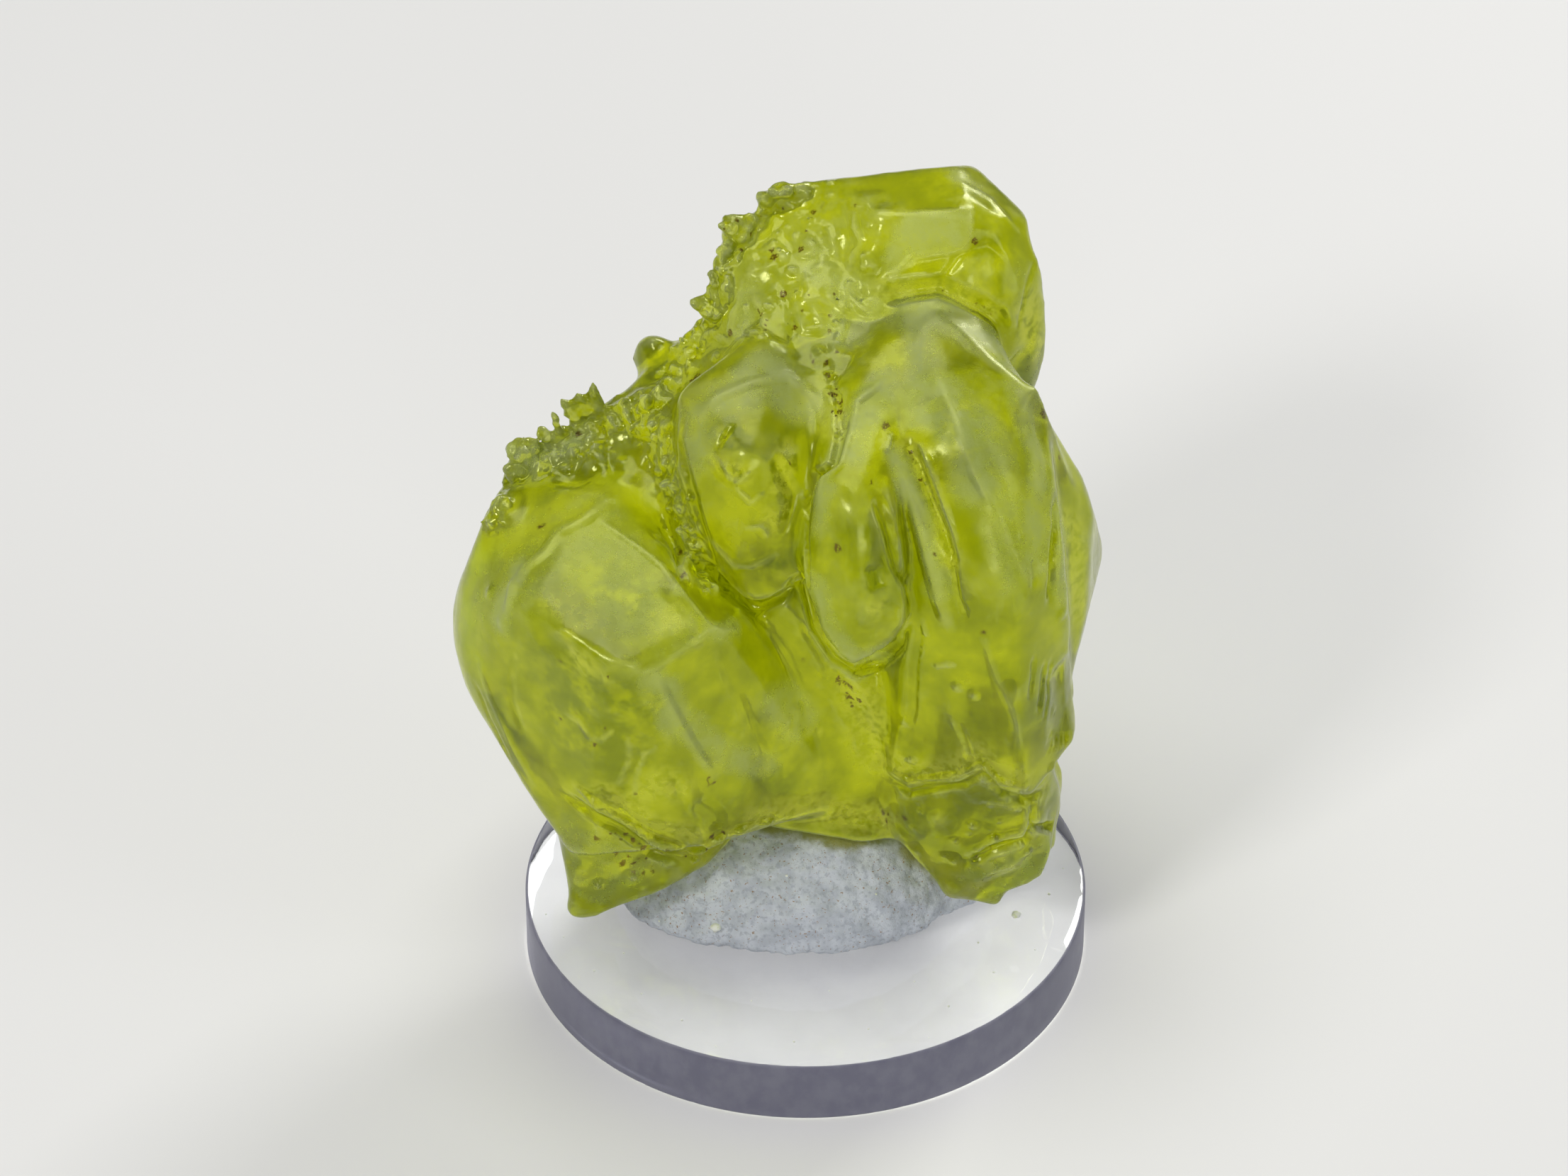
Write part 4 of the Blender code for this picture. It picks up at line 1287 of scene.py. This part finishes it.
# A profile of radius and height, turned round the axis, with small chips broken out of both rims.
def makeDiscMesh():
    shape = discShape
    radius, top, sides = shape["radius"], shape["thickness"], shape["sides"]
    foot, rim, push = shape["footRim"], shape["topRim"], shape["rimRound"]
    profile = [
        (radius - shape["rimWidth"], 0.0), (radius - foot, 0.0), (radius - push * foot, push * foot),
        (radius, foot), (radius, 0.25 * top), (radius, 0.5 * top), (radius, 0.75 * top), (radius, top - rim),
        (radius - push * rim, top - push * rim), (radius - rim, top), (radius - shape["rimWidth"], top),
    ]
    solid = bmesh.new()
    rings = []
    chance = random.Random(shape["seed"])
    for row, (reach, height) in enumerate(profile):
        ring = []
        for side in range(sides):
            angle = 2 * math.pi * side / sides
            chip = 0.0
            if row in shape["chippedRows"] and chance.random() < shape["chipShare"]:
                chip = chance.uniform(0, shape["chipDepth"])
            spot = ((reach - chip) * math.sin(angle), -(reach - chip) * math.cos(angle), height)
            ring.append(solid.verts.new(spot))
        rings.append(ring)
    first, last = shape["sawnRows"]
    for row, (low, high) in enumerate(zip(rings, rings[1:])):
        for side in range(sides):
            after = (side + 1) % sides
            face = solid.faces.new((low[side], low[after], high[after], high[side]))
            face.material_index = int(first <= row <= last)
            face.smooth = True
    solid.faces.new(list(reversed(rings[0])))
    solid.faces.new(rings[-1])
    bmesh.ops.recalc_face_normals(solid, faces=solid.faces[:])
    return meshOf(solid, "disc")


def makeDiscMaterials():
    look = discLook
    clear, tree, shader = newMaterial("clearAcrylic")
    smears = grain(tree, *look["smears"])
    smeared = spread(tree, smears, 0.3, 0.8, 0.0, look["smearShare"])
    feed(tree, shader, {
        "Base Color": mixColours(tree, smeared, look["clearColour"], look["sawnColour"]),
        "Roughness": spread(tree, smears, 0.35, 0.8, *look["clearRoughness"]),
        "Transmission Weight": 1.0,
        "IOR": look["refraction"],
    })
    sawn, tree, shader = newMaterial("sawnEdge")
    place = addNode(tree, "TexCoord", {}, {}).outputs["Object"]
    stretched = addNode(tree, "Mapping", {}, {"Vector": place, "Scale": look["sawMarks"]}).outputs[0]
    marks = noiseOver(tree, stretched, 1.0)
    colour = mixColours(tree, spread(tree, marks, 0.3, 0.7), look["sawnColour"], look["clearColour"])
    feed(tree, shader, {
        "Base Color": mixColours(tree, look["sawnShare"], colour, look["sawnColour"]),
        "Roughness": spread(tree, marks, 0.3, 0.7, *look["sawnRoughness"]),
        "Normal": bumpOf(tree, marks, look["bumpStrength"], look["bumpDepth"]),
        "Transmission Weight": look["sawnTransmission"],
        "IOR": look["refraction"],
    })
    return clear, sawn


# Crumbs and dust: size in mm, and the pixel of the frame that each one lies on.
looseGrains = {
    "onPutty": [(0.62, 1010, 1311), (0.14, 1110, 1236), (0.12, 930, 1300), (0.12, 1236, 1262)],
    "onDisc": [
        (0.42, 1433, 1292), (0.10, 1402, 1372), (0.08, 1460, 1340), (0.12, 1338, 1420), (0.08, 1225, 1452),
        (0.08, 1120, 1470), (0.10, 962, 1440), (0.08, 905, 1402), (0.10, 838, 1370), (0.08, 795, 1322),
        (0.12, 1480, 1262), (0.07, 1290, 1385), (0.07, 1060, 1412), (0.09, 880, 1345), (0.07, 1170, 1398),
        (0.08, 1380, 1330), (0.06, 1010, 1476), (0.06, 1310, 1464), (0.07, 770, 1290), (0.06, 1500, 1225),
    ],
    "seed": 31,
    "wide": [(0.75, 1.25), (0.75, 1.25), (0.6, 0.9)],  # share of the size along each axis
    "sunk": 0.3,  # share of the size below the surface
    "unevenness": 0.22,
    "colour": (0.95, 0.97, 0.88),
    "tint": (0.2, 1.6),
    "roughness": 0.5,
}


def makeLooseGrains(puttySurface):
    chance = random.Random(looseGrains["seed"])
    rests = []
    for size, across, down in looseGrains["onPutty"]:
        place = puttySurface.ray_cast(eye, sightLine(across, down))[0]
        if place:
            rests.append((size, place))
    for size, across, down in looseGrains["onDisc"]:
        line = sightLine(across, down)
        rests.append((size, eye + line * ((discShape["thickness"] - eye.z) / line.z)))
    grains = bmesh.new()
    for size, place in rests:
        solid = bmesh.new()
        bmesh.ops.create_icosphere(solid, subdivisions=2, radius=size / 2)
        wide = [chance.uniform(*limits) for limits in looseGrains["wide"]]
        for vert in solid.verts:
            push = 1 + chance.uniform(-1, 1) * looseGrains["unevenness"]
            vert.co = [value * share * push for value, share in zip(vert.co, wide)]
        lift = Vector((0, 0, (0.5 - looseGrains["sunk"]) * size))
        bmesh.ops.translate(solid, vec=place + lift, verts=solid.verts[:])
        joinSolid(grains, solid)
    return meshOf(grains, "looseGrains")


def makeGrainMaterial():
    material, tree, shader = newMaterial("crumb")
    tinted = spread(tree, grain(tree, *looseGrains["tint"]), 0.5, 0.9)
    feed(tree, shader, {
        "Base Color": mixColours(tree, tinted, looseGrains["colour"], sulfurLook["frostAndSheenColour"]),
        "Roughness": looseGrains["roughness"],
    })
    return material


# The light and the floor.
studio = {
    "floorColour": (0.78, 0.78, 0.77),
    "floorRoughness": 0.7,
    "floorSize": 3000.0,
    "floorLevel": -0.05,
    "worldColour": (0.9, 0.93, 1.0),
    "worldStrength": 0.15,
    "lamps": {
        "overhead": {"place": (-60, 40, 420), "size": 260, "power": 0.84, "colour": (1.0, 0.99, 0.97)},
        "front": {"place": (-190, -250, 280), "size": 80, "power": 0.5, "colour": (1.0, 0.98, 0.95)},
        "back": {"place": (170, 260, 220), "size": 120, "power": 0.55, "colour": (1.0, 0.99, 0.96)},
        "low": {"place": (30, -400, 110), "size": 110, "power": 0.22, "colour": (1.0, 0.99, 0.97)},
        "side": {"place": (320, -120, 160), "size": 140, "power": 0.16, "colour": (0.96, 0.98, 1.0)},
    },
    "aim": (0, 0, 18),
}


def makeStudio():
    world = bpy.data.worlds.new("studio")
    bpy.context.scene.world = world
    world.use_nodes = True
    background = world.node_tree.nodes["Background"]
    feed(world.node_tree, background, {"Color": studio["worldColour"], "Strength": studio["worldStrength"]})
    for name, lamp in studio["lamps"].items():
        data = bpy.data.lights.new(name, "AREA")
        data.shape = "SQUARE"
        data.size = lamp["size"] * mm
        data.energy = lamp["power"]
        data.color = lamp["colour"]
        light = bpy.data.objects.new(name, data)
        light.location = [value * mm for value in lamp["place"]]
        towards = Vector(studio["aim"]) - Vector(lamp["place"])
        light.rotation_euler = towards.to_track_quat("-Z", "Y").to_euler()
        bpy.context.scene.collection.objects.link(light)
    half = studio["floorSize"] / 2 * mm
    level = studio["floorLevel"] * mm
    corners = [(-half, -half, level), (half, -half, level), (half, half, level), (-half, half, level)]
    mesh = bpy.data.meshes.new("floor")
    mesh.from_pydata(corners, [], [(0, 1, 2, 3)])
    paint, tree, shader = newMaterial("floorPaint")
    feed(tree, shader, {"Base Color": studio["floorColour"], "Roughness": studio["floorRoughness"]})
    mesh.materials.append(paint)
    floor = bpy.data.objects.new("floor", mesh)
    bpy.context.scene.collection.objects.link(floor)
    bpy.context.scene.view_settings.view_transform = "Standard"
    report("studio")


makeCamera()
makeStudio()
sulfurMesh = makeSulfurMesh()
paintMasks(sulfurMesh)
puttyMesh = makePuttyMesh(surfaceOf(sulfurMesh))
grainMesh = makeLooseGrains(surfaceOf(puttyMesh))
finishPiece("sulfurCrystals", sulfurMesh, [makeSulfurMaterial()], "sulfur_cluster")
finishPiece("puttyMound", puttyMesh, [makePuttyMaterial()], "mineral_putty")
disc = finishPiece("clearDisc", makeDiscMesh(), makeDiscMaterials(), "acrylic_disc")
disc.visible_shadow = False  # clear acrylic lets the light through to the floor
finishPiece("looseCrumbs", grainMesh, [makeGrainMaterial()])
report("pieces placed")
